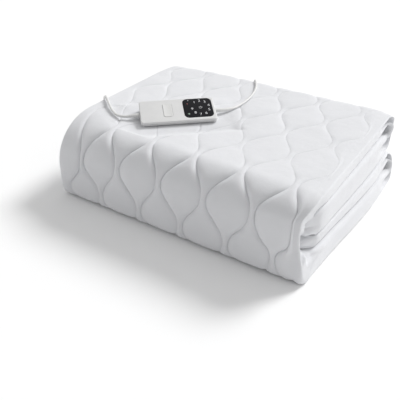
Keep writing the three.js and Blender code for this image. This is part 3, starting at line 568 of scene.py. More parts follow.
# %% The stretches in their order
# bulge: how far the right end stands out; tuck: how far its middle is drawn in;
# pillow: share of the pillows' height that is left, where leaves don't press them flat
RUNS = (
    {"name": "second leaf", "rows": 22, "bulge": growing(5, 12), "tuck": 24,
     "outer": hemmed(straight(LEAF_END_Y, 2 * LEAF + LEAF_GAP, BACK_TURN_Y, 2 * LEAF + LEAF_GAP), 1),
     "inner": hemmed(leaf_inner(LEAF_END_Y, BACK_TURN_Y, 3 * LEAF, -1), -1, FRONT_INNER_RADIUS),
     "pillow": lambda t: 0 * t},
    {"name": "upper back turn", "rows": 24, "bulge": swelling(9, 15, 6), "tuck": 26,
     "outer": turn(BACK_TURN_Y, 3 * LEAF + LEAF_GAP / 2, back_reach, bend_radius, -90, 90),
     "inner": turn(BACK_TURN_Y, 3 * LEAF, VOID_RADIUS, VOID_RADIUS, -90, 90),
     "pillow": lambda t: smooth(0.1, 0.5, t)},
    {"name": "top leaf", "rows": 86, "bulge": growing(4, 5), "tuck": 26,
     "outer": straight(BACK_TURN_Y, TOP, top_front_y, TOP),
     "outer_left": straight(BACK_TURN_Y, TOP, left_front_y, TOP),
     "inner": leaf_inner(BACK_TURN_Y, inner_turn_y, 3 * LEAF, 1),
     "pillow": lambda t: 1 + 0 * t},
    {"name": "front, over the edge", "rows": 30, "bulge": changing(4, 5), "tuck": 14,
     "outer": turn(top_front_y, top_front_z, FRONT["top_reach"], FRONT["top_drop"], 90, 180),
     "outer_left": turn(left_front_y, left_front_z, FRONT["left_reach"], FRONT["left_drop"], 90, 180),
     "inner": turn(inner_turn_y, front_turn_z, FRONT_INNER_RADIUS, FRONT_INNER_RADIUS, 90, 180),
     "pillow": lambda t: 1 + 0 * t},
    {"name": "front, going down", "rows": 20, "bulge": changing(5, 10.5), "tuck": 14,
     "outer": straight(FRONT_Y, top_front_z, FRONT_Y, FRONT["foot_rise"]),
     "outer_left": straight(FRONT_Y, left_front_z, FRONT_Y, FRONT["foot_rise"]),
     "inner": straight(front_inner_y, front_turn_z, front_inner_y, foot_inner_z),
     "pillow": lambda t: 1 + 0 * t},
    {"name": "front, turning under", "rows": 14, "bulge": changing(10.5, 15), "tuck": 14,
     "outer": turn(foot_y, FRONT["foot_rise"], FRONT["foot_reach"], FRONT["foot_rise"], 180, 270),
     "inner": turn(foot_inner_y, foot_inner_z, FOOT_INNER_RADIUS, FOOT_INNER_RADIUS, 180, 270),
     "pillow": lambda t: 1 - smooth(0, 0.6, t)},
    {"name": "bottom leaf", "rows": 22, "bulge": changing(15, 15), "tuck": 26,
     "outer": straight(foot_y, 0, BACK_TURN_Y, 0),
     "inner": leaf_inner(foot_inner_y, BACK_TURN_Y, LEAF, -1),
     "pillow": lambda t: 0 * t},
    {"name": "lower back turn", "rows": 24, "bulge": swelling(15, 18, 9), "tuck": 28,
     "outer": turn(BACK_TURN_Y, LEAF - LEAF_GAP / 2, back_reach, bend_radius, -90, 90),
     "inner": turn(BACK_TURN_Y, LEAF, VOID_RADIUS, VOID_RADIUS, -90, 90),
     "pillow": lambda t: smooth(0.3, 0.5, t) * (1 - smooth(0.6, 0.9, t))},
    {"name": "third leaf", "rows": 23, "bulge": growing(5, 12), "tuck": 26,
     "outer": hemmed(straight(BACK_TURN_Y, 2 * LEAF - LEAF_GAP, LEAF_END_Y, 2 * LEAF - LEAF_GAP), -1),
     "inner": hemmed(leaf_inner(BACK_TURN_Y, LEAF_END_Y, LEAF, 1), 1, FOOT_INNER_RADIUS),
     "pillow": lambda t: 0 * t},
)
print(len(RUNS), "stretches with", sum(run["rows"] for run in RUNS), "rows")

# %% The path of the band
HEM_CROWDING = 1.6                  # rows of the two hidden leaves crowd up to the hem by this power


def walk_the_path():
    """All rows of points along the band, one after the other: arrays with one entry for each row."""
    rows = {key: [] for key in ("t", "outer", "outer_left", "inner", "bulge", "tuck", "pillow", "run")}
    for number, run in enumerate(RUNS):
        t = np.arange(run["rows"]) / run["rows"]
        if run["name"] == "second leaf":
            t = t ** HEM_CROWDING
        if run["name"] == "third leaf":
            t = 1 - np.linspace(1, 0, run["rows"]) ** HEM_CROWDING
        outer = run["outer"](t)
        rows["t"].append(t)
        rows["outer"].append(outer)
        rows["outer_left"].append(run.get("outer_left", run["outer"])(t))
        rows["inner"].append(run["inner"](t))
        rows["bulge"].append(run["bulge"](t, outer[:, 0]) + 0 * t)
        rows["tuck"].append(run["tuck"] + 0 * t)
        rows["pillow"].append(run["pillow"](t))
        rows["run"].append(np.full(len(t), number))
    return {key: np.concatenate(value) for key, value in rows.items()}


RUN_NAMES = [run["name"] for run in RUNS]
path = walk_the_path()
ROWS = len(path["t"])
in_front = np.isin(path["run"], [i for i, name in enumerate(RUN_NAMES) if name.startswith("front")])
on_top = path["run"] == RUN_NAMES.index("top leaf")
steps = np.linalg.norm(np.diff(path["outer"], axis=0), axis=1)
length = np.concatenate([[0], np.cumsum(steps)])
front_start = int(np.argmax(path["run"] == RUN_NAMES.index("front, over the edge")))
print(ROWS, "rows along", round(length[-1]), "mm of folded band")

# %% [markdown]
# ## The folded cloth, 3: the quilting
# The quilt is sewn in long lines that swing from side to side, and neighbours swing in opposite ways,
# so the cloth between them swells into rows of ogee pillows. A line is X as a cosine of the distance
# along the cloth. Across the cloth, columns of points crowd up to each line, because the thread
# pulls a narrow groove there, and spread out over the pillow, which is nearly flat.

# %% Quilted lines
LINES = 11
FIRST_LINE_X = -222.7
SWING = 0.4 * PITCH                 # to each side
HALF_WAVE = 1.6875 * PITCH          # along the cloth, from one swing to the opposite one
GROOVE = {"top": 1.8, "front": 4.2, "pressed": 2}        # depths; pressed is under another leaf
CROWN = 1.3                         # extra height of a pillow's middle
SHOULDER = 14                       # from a line to where its pillow is flat
SLANT_LOSS = 0.72                   # share of the top's grooves that is lost where a line runs askew
VALLEY_X = 226                      # last dip of the outer face, before it rounds over at the right end
VALLEY = {"top": 2.5, "front": 4.2, "from": 20, "to": 80, "reach": 4, "reach_share": 0.45}
VALLEY_CLEAR = 3
EASE = 3                            # how softly the last line is kept clear of the valley
EDGE_FALL = {"top": 4, "front": 5.5}     # how far the face has rounded off where the end begins
GROOVE_CURVE = 2.5                  # how sharply the pillows dive into the lines
EDGE_LENGTH = 60                    # over which the grooves grow from the top's to the front's depth

wave = -1 + (length - length[front_start]) / HALF_WAVE
line_number = np.arange(LINES)
side = np.where(line_number % 2 == 0, 1, -1)
line_x = FIRST_LINE_X + PITCH * line_number + side * SWING * np.cos(pi * wave)[:, None]
over = (line_x - (VALLEY_X - VALLEY_CLEAR)) / EASE
line_x -= EASE * np.log1p(np.exp(over))
edges = np.hstack([np.full((ROWS, 1), LEFT_X + HEM["round"]), line_x, np.full((ROWS, 1), VALLEY_X)])

# Columns beside a line: distances in millimetres, and the most of the half gap that each may take
BESIDE = {"distance": np.array([0.5, 1.3, 2.6, 4.6, 7.6]), "most": np.array([0.06, 0.15, 0.3, 0.5, 0.72])}
BETWEEN = 6                         # columns over the flat of a pillow


def columns_in_gap(left, right):
    """X of the columns from one line to just before the next, and their distance to the nearer line."""
    half = (right - left)[:, None] / 2
    near = np.minimum(BESIDE["distance"], BESIDE["most"] * half)
    flat = mix(near[:, -1:], 2 * half - near[:, -1:], np.arange(1, BETWEEN + 1) / (BETWEEN + 1))
    away = np.hstack([0 * half, near, flat, (2 * half - near)[:, ::-1]])
    return left[:, None] + away, np.minimum(away, 2 * half - away)


print(LINES, "quilted lines, each", round(length[-1]), "mm long on the outer face")

# %% [markdown]
# ## The folded cloth, 4: the section
# Across the band, the cloth is one closed loop: over the outer face from the hem to the right end,
# round the right end, back along the inner face, round the left fold into the tucked layer, and home
# along the inside. Each block of columns below is one stretch of that loop. A point is kept as its X,
# its share of the leaf's thickness and a step inwards, for all rows at once.

# %% Uneven heights
NOISE_CELLS = 64


def soft_noise(u, v, cell, seed):
    """Smooth random heights from -1 to 1: random values on a grid of cells, blended between them."""
    table = np.random.default_rng(seed).uniform(-1, 1, (NOISE_CELLS, NOISE_CELLS))
    a, b = np.asarray(u, float) / cell, np.asarray(v, float) / cell
    i, j = np.floor(a).astype(int), np.floor(b).astype(int)
    s, t = smooth(0, 1, a - i), smooth(0, 1, b - j)

    def corner(di, dj):
        return table[(i + di) % NOISE_CELLS, (j + dj) % NOISE_CELLS]

    return mix(mix(corner(0, 0), corner(1, 0), s), mix(corner(0, 1), corner(1, 1), s), t)


print("random heights repeat after", NOISE_CELLS, "cells")

# %% Outer face with its grooves and pillows
CROWN_ROUNDNESS = 0.6               # power of the sine over a pillow: the smaller, the flatter its middle
PUCKER = {"height": 0.45, "cell": 5.5, "clear": 1.5, "fade": 4.5, "first_seed": 11}
UNEVEN = {
    "broad": 0.8, "broad_cell": 70, "broad_seed": 3, "fine": 0.35, "fine_cell": 26, "fine_seed": 5,
    "clear": 8,
}
NARROW_SHOULDER = 8                 # grooves between lines that are closer than this are shallower
DUST_AND_SHADE_FADE = 2.2                     # distance over which the finish's painted shade and dust fade beside a line


def relief(x, away, gap):
    """Small heights on a pillow: puckers that fan out of the line where the thread pulls, and broad and
    fine unevenness of the filling. Both are soft noise, and both are nothing at the thread itself."""
    along = length[:, None] + 0 * x
    pucker = PUCKER["height"] * soft_noise(along, x, PUCKER["cell"], PUCKER["first_seed"] + gap)
    pucker = pucker * np.exp(-away / PUCKER["fade"]) * np.clip(away / PUCKER["clear"], 0, 1)
    uneven = UNEVEN["broad"] * soft_noise(x, along, UNEVEN["broad_cell"], UNEVEN["broad_seed"])
    uneven += UNEVEN["fine"] * soft_noise(x, along, UNEVEN["fine_cell"], UNEVEN["fine_seed"])
    return pucker + uneven * np.clip(away / UNEVEN["clear"], 0, 1)


def outer_face():
    """X, share, step and mask of painted shade and dust of the outer face. The groove's depth is a power
    of the share of the shoulder that is left, so the pillow bends down more and more until it meets the
    thread."""
    xs, steps_in, dust_and_shade_masks, seam_columns = [], [], [], []
    pillow = path["pillow"][:, None]
    over_edge = np.clip((length - length[front_start]) / EDGE_LENGTH + 0.5, 0, 1)[:, None]
    askew = np.sin(pi * wave)[:, None] ** 2
    top_groove = GROOVE["top"] * (1 - SLANT_LOSS * askew)
    groove = mix(GROOVE["pressed"], mix(top_groove, GROOVE["front"], over_edge), pillow)
    down = smooth(VALLEY["from"], VALLEY["to"], length - length[front_start])[:, None]
    valley_depth = mix(GROOVE["pressed"], mix(VALLEY["top"], VALLEY["front"], down), pillow)
    for gap in range(LINES + 1):
        left, right = edges[:, gap], edges[:, gap + 1]
        x, away = columns_in_gap(left, right)
        wide = (right - left)[:, None]
        shoulder = np.minimum(SHOULDER, 0.5 * wide)
        fall = (1 - np.clip(away / shoulder, 0, 1)) ** GROOVE_CURVE
        share_across = (x - left[:, None]) / wide
        crown = CROWN * pillow * smooth(0.1 * PITCH, PITCH, wide)
        crown = crown * np.sin(pi * share_across) ** CROWN_ROUNDNESS
        line_at_left = (share_across < 0.5) & (gap > 0)
        line_at_right = (share_across >= 0.5) & (gap < LINES)
        beside_line = line_at_left | line_at_right
        depth = groove * np.minimum(1, shoulder / NARROW_SHOULDER) * fall * beside_line
        if gap == LINES:
            reach = VALLEY["reach"] + VALLEY["reach_share"] * wide
            depth = depth + valley_depth * (1 - smooth(0, reach, right[:, None] - x))
        xs.append(x)
        steps_in.append(depth - crown - pillow * relief(x, away, gap))
        # painted shade, with some dust: a mask that is 1 at the line and fades over the pillow
        dust_and_shade_masks.append(np.exp(-away / DUST_AND_SHADE_FADE) * beside_line)
        seam_columns.append(sum(block.shape[1] for block in xs))
    valley = np.full((ROWS, 1), VALLEY_X)
    xs.append(valley)
    steps_in.append(valley_depth)
    dust_and_shade_masks.append(0 * valley)
    x = np.hstack(xs)
    return x, 0 * x, np.hstack(steps_in), np.hstack(dust_and_shade_masks), seam_columns[:LINES]


face_x, face_share, face_step, face_dust_and_shade, seam_columns = outer_face()
print("outer face has", face_x.shape[1], "columns")

# %% How far the right end is open at each row
def open_share():
    """How far the right end is drawn in at each row: wholly at a turn, fading out along a leaf."""
    low, high = FRONT_MOUTH["low"], FRONT_MOUTH["high"]
    height = np.clip((path["outer"][:, 1] - low) / (high - low), 0, 1)
    front = np.maximum(np.sin(pi * height), 0) ** FRONT_MOUTH["flatness"]
    back_y = np.maximum(path["outer"][:, 0], path["inner"][:, 0])
    back = smooth(BACK_TURN_Y - MOUTH["length"], BACK_TURN_Y + MOUTH["full"], back_y)
    return np.where(in_front, front, back)


opened = open_share()
print((opened > 0.5).sum(), "of", ROWS, "rows have an open mouth at the right end")

# %% [markdown]
# ### The right end
# At the right end the three layers turn round in one rounded edge. Where the band turns, at the front
# and at the back, that edge is drawn in and opens a mouth, with small gathers in it. Along a leaf, the
# weight of the stack presses it flat. So the end is a half circle that is reshaped row by row.

# %% The right end, where the cloth turns round
END_COLUMNS = {"outer": 30, "inner": 14}
# Small gathers that fan out inside each mouth, their steps wandering a little
PLEAT = {"height": 2.2, "pitch": 13.5, "wander": 2, "cell": 30, "seed": 8}
END_SQUARE = 2.5                    # how square the leaves' ends are pressed, away from the turns


def right_end(angles, reach, back, stand_out):
    """Points round the right end: a flattened half circle, its middle drawn in between two rims. Where
    the end isn't drawn in, it is pressed flat: it stands out by one less a power of one less the sine."""
    share = 0.5 - reach * np.cos(angles)[None, :]
    inner_rim = np.where(in_front[:, None], 0, smooth(1 - RIM["to"], 1 - RIM["from"], share))
    dip = smooth(RIM["from"], RIM["to"], share) * (1 - inner_rim)
    sine = np.sin(angles)[None, :]
    pressed = 1 - (1 - sine) ** END_SQUARE
    flatness = np.where(in_front, BULGE_FLATNESS["front"], BULGE_FLATNESS["else"])[:, None]
    out = stand_out[:, None] * mix(pressed, sine ** flatness, opened[:, None])
    wander = PLEAT["wander"] * soft_noise(length, 0 * length, PLEAT["cell"], PLEAT["seed"])
    gathers = PLEAT["height"] * np.sin(2 * pi * length / PLEAT["pitch"] + wander)
    x = FOLD_X - back[:, None] + out - ((path["tuck"] + gathers) * opened)[:, None] * dip
    return x, share + 0 * x


outer_angles = pi * (np.arange(END_COLUMNS["outer"]) + 1) / (END_COLUMNS["outer"] + 1)
inner_angles = pi * np.arange(END_COLUMNS["inner"], 0, -1) / (END_COLUMNS["inner"] + 1)
inner_back = np.where(in_front, path["tuck"] * opened, 0)
inset = WALL["inset"] + opened * np.where(in_front, FRONT_MOUTH["depth"], MOUTH["depth"])
end_x, end_share = right_end(outer_angles, 0.5, 0 * opened, path["bulge"])
edge_fall = np.where(in_front, EDGE_FALL["front"], EDGE_FALL["top"]) * path["pillow"]
end_step = edge_fall[:, None] * np.clip(1 - (1 - np.cos(outer_angles)) / 2 / RIM["to"], 0, 1)[None, :]
wall_x, wall_share = right_end(
    inner_angles, WALL["share"], inset, np.maximum(path["bulge"] - WALL["bulge"], 0))
print("right end stands out by", round(end_x.max() - FOLD_X, 1), "mm at most")

# %% [markdown]
# ### Inside and left end
# The rest of the loop hardly shows: the inner face, the fold at the left, the tucked layer and the inner
# side of the outer layer. They are straight runs with few columns, placed where the levels of the stack
# bend, and short curves at the left fold and the hem, which do show at the left end.

# %% The hidden layers and the left end
LEVEL_COLUMNS = np.array([-230, -200, -168, -100, -50, 0, 50, 95, 120, 150, 180])
FARTHEST_LEFT = -400                # no column lies farther out
CURVE_STEPS = 8                     # round the left fold and round the hem


def across(start, end, share):
    """A run straight across between two X, with columns at the places where the levels bend."""
    start, end = start + 0 * opened, end + 0 * opened
    rightward = start[0] < end[0]
    low = max(min(start.min(), end.min()), FARTHEST_LEFT)
    high = np.maximum(start, end).min()
    inside = LEVEL_COLUMNS[(LEVEL_COLUMNS > low + 1) & (LEVEL_COLUMNS < high - 1)]
    inside = inside if rightward else inside[::-1]
    x = np.hstack([start[:, None], np.tile(inside, (ROWS, 1)), end[:, None]])
    return x, share + 0 * x


def steady(x, share):
    """A short run that is the same in every row."""
    return np.tile(np.asarray(x, float), (ROWS, 1)), np.tile(np.asarray(share, float), (ROWS, 1))


def build_section():
    """All columns of the loop in order, as arrays with a row for each row of the path."""
    outer, tucked, inner = LAYERS["outer"], LAYERS["tucked"], LAYERS["inner"]
    half_turn = pi * np.arange(1, CURVE_STEPS) / CURVE_STEPS
    inside_x = LEFT_FOLD["x"] + LEFT_FOLD["inside"]
    edge_x, edge_round = TUCKED_EDGE["x"], TUCKED_EDGE["round"]
    blocks = [
        (face_x, face_share),
        (end_x, end_share),
        across(FOLD_X - inner_back, LEFT_FOLD["x"], inner[1]),
        steady(LEFT_FOLD["x"] - LEFT_FOLD["bulge"] * np.sin(half_turn),
               mix(inner[1], tucked[0], (1 - np.cos(half_turn)) / 2)),
        across(LEFT_FOLD["x"], edge_x, tucked[0]),
        steady([edge_x + edge_round, edge_x + edge_round], [TUCKED_EDGE["from"], TUCKED_EDGE["to"]]),
        across(edge_x, inside_x, tucked[1]),
        steady([inside_x - LEFT_FOLD["inside_bulge"]], [(tucked[1] + inner[0]) / 2]),
        across(inside_x, FOLD_X - inset - inner_back, inner[0]),
        (wall_x, wall_share),
        across(FOLD_X - inset, LEFT_X + HEM["round"], outer[1]),
        steady(LEFT_X + HEM["round"] * (1 - np.sin(half_turn)),
               HEM["share"] * (1 + np.cos(half_turn)) / 2),
    ]
    x = np.hstack([block[0] for block in blocks])
    share = np.hstack([block[1] for block in blocks])
    step = np.zeros_like(x)
    step[:, :face_x.shape[1]] = face_step
    step[:, face_x.shape[1]:face_x.shape[1] + end_x.shape[1]] = end_step
    return x, share, step


section_x, section_share, section_step = build_section()
COLUMNS = section_x.shape[1]
FACE_COLUMNS = face_x.shape[1]
print(ROWS, "rows by", COLUMNS, "columns make", 2 * ROWS * COLUMNS, "triangles")

# %% [markdown]
# ## The folded cloth, 5: settling
# The stack isn't square: the leaves meet at other heights at each end, the corners are rounded, the foot
# stands out towards the back and the front edge is drawn in. Each of these is one slow change of the
# whole stack, so it is applied to all points at once. Under the control, the quilt takes its slope.
# The control's own place and wedge come first, because the cloth is pulled to its underside.

# %% Place of the control
CONTROL = {
    "length": 137.5, "width": 63, "corner": 5.5, "middle": np.array([-87.8, -50, 160]),
    "turn": radians(41.7), "tilt": radians(14.5), "near": 8, "far": 18.5, "parting": 4.5,
}
SEAT = {"clearance": 1.8, "full": 18, "none": 44, "margin": 10, "highest": TOP + 4}

control_along = np.array([cos(CONTROL["turn"]), sin(CONTROL["turn"]), 0])
control_across = cos(CONTROL["tilt"]) * np.array([-sin(CONTROL["turn"]), cos(CONTROL["turn"]), 0])
control_across += sin(CONTROL["tilt"]) * np.array([0, 0, 1])
control_axes = np.array([control_along, control_across, np.cross(control_along, control_across)])


def on_control(points):
    """Points given along, across and out of the control's face, in the frame."""
    return CONTROL["middle"] + np.asarray(points, float) @ control_axes


def thickness_at(v):
    """The control is a wedge: thin at its near edge and thick at its far one."""
    return mix(CONTROL["near"], CONTROL["far"], v / CONTROL["width"] + 0.5)


print("control", CONTROL["length"], "by", CONTROL["width"], "mm, its face at", CONTROL["middle"])

# %% Cloth under the control
def settle_under_control(points, groove):
    """Pulls the top face to the plane of the control's underside, fully near it and fading outwards.
    The sewn lines stay as deep as they were."""
    local = (points - CONTROL["middle"]) @ control_axes.T
    away_u = np.abs(local[..., 0]) - CONTROL["length"] / 2
    away_v = np.abs(local[..., 1]) - CONTROL["width"] / 2
    away = np.maximum(np.maximum(away_u, away_v), 0)
    hold = 1 - smooth(SEAT["full"], SEAT["none"], away)
    edge = CONTROL["width"] / 2 + SEAT["margin"]
    below = -thickness_at(np.clip(local[..., 1], -edge, edge)) - SEAT["clearance"]
    seat = on_control(np.stack([local[..., 0], local[..., 1], below], -1))[..., 2]
    height = mix(points[..., 2], np.minimum(seat, SEAT["highest"]) - np.maximum(groove, 0), hold)
    return np.stack([points[..., 0], points[..., 1], height], -1)

# %% Settle the stack
def recess_shift(y, z):
    """How far the leaves' ends lie back in the recess at the front. Each rolled end is half an ellipse
    over its height, and the highest of them counts."""
    height = np.clip((z - RECESS["low"]) / (RECESS["high"] - RECESS["low"]), 0, 1)
    band = np.sqrt(np.maximum(np.sin(pi * height), 0))
    back = smooth(-RECESS["back"], -RECESS["full_back"], -y)
    front = 1 - smooth(-RECESS["full_front"], -RECESS["front"], -y)
    roll_front = 1 - smooth(-RECESS["full_back"], -RECESS["roll_front"], -y)
    from_middle = (z[..., None] - ROLLS["middle"]) / ROLLS["half"]
    roll = (ROLLS["out"] * np.sqrt(np.maximum(1 - from_middle ** 2, 0))).max(-1)
    rolled = (roll - ROLLS["crease"]) * band ** 2 * back * roll_front
    return RECESS["inwards"] * band * back * front - rolled


def level(n, to_left, to_right):
    """Height at which leaf n starts: its middle height, changed by shares towards either end."""
    left = (LEVELS["left"] - LEVELS["middle"])[n] * to_left
    right = (LEVELS["right"] - LEVELS["middle"])[n] * to_right
    return LEVELS["middle"][n] + left + right


def settle(points):
    """The slow changes of the whole stack, on all points at once: first the leaves' levels, then the
    steps inwards or outwards of the ends, which grow from the middle of the stack to each end."""
    x, y, z = points[..., 0], points[..., 1], points[..., 2]
    to_left = np.clip((x - BENDS_X[0]) / (LEFT_X - BENDS_X[0]), 0, 1)
    to_right = np.clip((x - BENDS_X[1]) / (BENDS_X[2] - BENDS_X[1]), 0, 1)
    leaf = np.clip(np.floor(z / LEAF), 0, 3).astype(int)
    z = mix(level(leaf, to_left, to_right), level(leaf + 1, to_left, to_right), z / LEAF - leaf)
    at_end = smooth(CORNER_START_X, -LEFT_X, np.abs(x))
    shift = 0 * x
    for corner in CORNERS:
        past = np.clip((y - corner["from"]) / (corner["to"] - corner["from"]), 0, CURVE_MOST)
        on_side = corner["side"] * x > 0
        shift -= on_side * corner["side"] * corner["inwards"] * (1 - np.sqrt(1 - past ** 2))
    towards_back = smooth(FOOT_FLARE["near_y"], FOOT_FLARE["far_y"], y)
    low = 1 - smooth(FOOT_FLARE["full"], FOOT_FLARE["none"], z)
    shift += (x > 0) * mix(FOOT_FLARE["near"], FOOT_FLARE["far"], towards_back) * low
    band = smooth(0, FRONT_DRAW["full"], z) * (1 - smooth(FRONT_DRAW["fading"], FRONT_DRAW["high"], z))
    shift -= (x > 0) * FRONT_DRAW["inwards"] * band * smooth(-FRONT_DRAW["from"], -FRONT_DRAW["to"], -y)
    shift -= (x > 0) * recess_shift(y, z)
    return np.stack([x + shift * at_end, y, z], -1)


def cloth_points():
    """Every point of the cloth: its row gives the outer and inner line, its share the place between."""
    to_left = (1 - smooth(LEFT_X, LEFT_X + LEFT_LENGTH, section_x))[..., None]
    outer = mix(path["outer"][:, None, :], path["outer_left"][:, None, :], to_left)
    inward = path["inner"][:, None, :] - outer
    reach = np.linalg.norm(inward, axis=-1, keepdims=True)
    depth = reach * section_share[..., None] + section_step[..., None]
    yz = outer + inward / reach * depth
    points = settle(np.concatenate([section_x[..., None], yz], -1))
    under = settle_under_control(points, section_step)
    chosen = (on_top[:, None] & (section_share == 0))[..., None]
    outward = -(inward / reach)
    return np.where(chosen, under, points), outward


cloth, cloth_outward = cloth_points()
print("cloth's box, mm:", cloth.reshape(-1, 3).min(0).round(1), cloth.reshape(-1, 3).max(0).round(1))

# %% [markdown]
# ## The folded cloth, 6: the mesh
# The grid now becomes one closed mesh. The two ends of the band, inside the front fold, get a cap each.
# The mesh gets a UV map in metres of cloth, across and along the band, so that its weave follows every
# fold, and an attribute that says how deep in a quilted line a point lies, where the finish paints shade
# and dust.

# %% Cloth mesh
CAP_BOW = {"height": 0.6, "length": 160}


def cap_triangles(row):
    """Triangles that close the section at one row, cut as if drawn flat and slightly bowed. The bow
    keeps points of one layer off a straight line, where cutting into triangles could fail."""
    bow = CAP_BOW["height"] * np.sin((section_x[row] - LEFT_X) / CAP_BOW["length"])
    flat = np.stack([section_x[row], LEAF * section_share[row] + bow], -1)
    triangles = tessellate_polygon([[Vector((u, v, 0)) for u, v in flat]])
    return np.array(triangles)


def facing(triangles, start, end):
    """The triangles, turned round where they don't run from start to end along that edge."""
    pairs = np.vstack([triangles[:, [0, 1]], triangles[:, [1, 2]], triangles[:, [2, 0]]])
    return triangles if (pairs == (start, end)).all(1).any() else triangles[:, ::-1]


def cloth_mesh():
    """The closed cloth: the sweep of the section, and a cap on its first and last row."""
    last = (ROWS - 1) * COLUMNS
    caps = [facing(cap_triangles(0), 1, 0), facing(last + cap_triangles(ROWS - 1), last, last + 1)]
    return make_piece("quilted_cloth", cloth, [grid_faces(ROWS, COLUMNS), np.vstack(caps)])


quilt = cloth_mesh()
print("cloth has", len(quilt.data.polygons), "faces")

# %% The cloth's own map and its mask of painted shade and dust in the lines
def spread_over(points):
    """Distance along each row and along each column from the first point, in metres of cloth."""
    across_steps = np.linalg.norm(np.roll(points, -1, axis=1) - points, axis=-1)
    u = np.concatenate([np.zeros((ROWS, 1)), np.cumsum(across_steps, axis=1)], axis=1)
    along_steps = np.linalg.norm(np.diff(points, axis=0), axis=-1).mean(1)
    v = np.concatenate([[0], np.cumsum(along_steps)])
    return u * MM, v * MM


u, v = spread_over(cloth)
corner_r = np.array([0, 0, 1, 1])
corner_c = np.array([0, 1, 1, 0])
r, c = np.meshgrid(np.arange(ROWS - 1), np.arange(COLUMNS), indexing="ij")
face_u = u[r[..., None] + corner_r, c[..., None] + corner_c]
face_v = np.broadcast_to(v[:, None], u.shape)[r[..., None] + corner_r, c[..., None] + corner_c]
uv = np.stack([face_u, face_v], -1).reshape(-1, 4, 2)
flipped = quilt.data.polygons[0].vertices[1] != 1
uv = uv[:, ::-1] if flipped else uv
uv = np.vstack([uv.reshape(-1, 2), np.zeros((len(quilt.data.loops) - uv.shape[0] * 4, 2))])
quilt.data.uv_layers.new(name="cloth").uv.foreach_set("vector", uv.astype(np.float32).ravel())

# Painted shade, with some dust: the finish greys the cloth deep in each sewn line by this mask
groove_dust_and_shade = np.zeros((ROWS, COLUMNS))
groove_dust_and_shade[:, :FACE_COLUMNS] = face_dust_and_shade
quilt.data.attributes.new("groove_dust_and_shade", "FLOAT", "POINT").data.foreach_set(
    "value", groove_dust_and_shade.astype(np.float32).ravel())
print("cloth measures", u.max().round(2), "m round its section and", v.max().round(2), "m along the band")

# %% [markdown]
# ## Stitches
# Each quilted line is a row of short lock stitches that sink into the groove. One stitch is a spindle
# with a few dozen faces. Its copies could be instances, but here they are spaced evenly along the lines
# by their length and turned to follow them, all as one array and one mesh.

# %% Stitches along the lines
STITCH = {
    "length": 2.5, "pitch": 3.3, "radius": 0.34, "lift": 0.1, "rings": 5, "sides": 6,
    "tip": 0.04, "roundness": 0.6,
}
STITCH_POINTS = STITCH["rings"] * STITCH["sides"]


def spindle():
    """Points of one stitch along X, in rings whose radius is a power of the half sine of the length."""
    t = np.linspace(STITCH["tip"], 1 - STITCH["tip"], STITCH["rings"])[:, None]
    angle = 2 * pi * np.arange(STITCH["sides"])[None, :] / STITCH["sides"]
    radius = STITCH["radius"] * np.sin(pi * t) ** STITCH["roundness"]
    x = (t - 0.5) * STITCH["length"] + 0 * angle
    return np.stack([x, radius * np.cos(angle), radius * np.sin(angle)], -1).reshape(-1, 3)


def stitches_on(line, outward):
    """Places, directions and outward ways of the stitches at equal steps along one line of points."""
    steps = np.linalg.norm(np.diff(line, axis=0), axis=1)
    along = np.concatenate([[0], np.cumsum(steps)])
    at = np.arange(STITCH["pitch"], along[-1] - STITCH["pitch"], STITCH["pitch"])
    place = np.stack([np.interp(at, along, line[:, k]) for k in range(3)], -1)
    ahead = np.stack([np.interp(at + 1, along, line[:, k]) for k in range(3)], -1)
    out_y, out_z = (np.interp(at, along, outward[:, k]) for k in range(2))
    out = np.stack([0 * at, out_y, out_z], -1)
    direction = ahead - place
    direction /= np.linalg.norm(direction, axis=1, keepdims=True)
    out -= (out * direction).sum(1, keepdims=True) * direction
    out /= np.linalg.norm(out, axis=1, keepdims=True)
    return place + out * STITCH["lift"], direction, out


SEWN_RUNS = ("upper back turn", "top leaf", "front, over the edge", "front, going down",
             "front, turning under")
LOWEST_STITCH = 4                   # below it, the line faces the floor


def shown_rows():
    """Rows whose outer face can be seen from some side, from the upper turn to the front's foot."""
    numbers = [RUN_NAMES.index(name) for name in SEWN_RUNS]
    return np.isin(path["run"], numbers) & (cloth[:, 0, 2] > LOWEST_STITCH)


def under_control(points):
    """True where a point lies within the control's length and width."""
    local = np.abs((points - CONTROL["middle"]) @ control_axes.T)[:, :2]
    return (local < (CONTROL["length"] / 2, CONTROL["width"] / 2)).all(1)

# %% All stitches as one mesh
def all_stitches():
    """The stitches of every quilted line, apart from those that the control covers, as one mesh."""
    rows = shown_rows()
    found = [stitches_on(cloth[rows, column], cloth_outward[rows, column]) for column in seam_columns]
    place, direction, out = (np.vstack([line[k] for line in found]) for k in range(3))
    free = ~under_control(place)
    place, direction, out = place[free], direction[free], out[free]
    sideways = np.cross(out, direction)
    shape = spindle()
    points = (place[:, None] + shape[None, :, :1] * direction[:, None]
              + shape[None, :, 1:2] * sideways[:, None] + shape[None, :, 2:] * out[:, None])
    sides = np.arange(STITCH["sides"])
    caps = np.array([sides[::-1], STITCH_POINTS - STITCH["sides"] + sides])
    one = [grid_faces(STITCH["rings"], STITCH["sides"]), caps]
    offsets = STITCH_POINTS * np.arange(len(place))[:, None, None]
    faces = [(block[None] + offsets).reshape(-1, block.shape[1]) for block in one]
    return make_piece("line_stitches", points, faces)


stitches = all_stitches()
print("stitches:", len(stitches.data.vertices) // STITCH_POINTS)

# %% [markdown]
# ## The control
# The control is a wedge-shaped moulding in two halves, with a glossy display flush in its cover and one
# press key. The halves are rounded rectangles stacked in rings, each ring drawn in by an inset at its own
# height. The cover's face has two openings, so its flat part is cut into triangles round them.

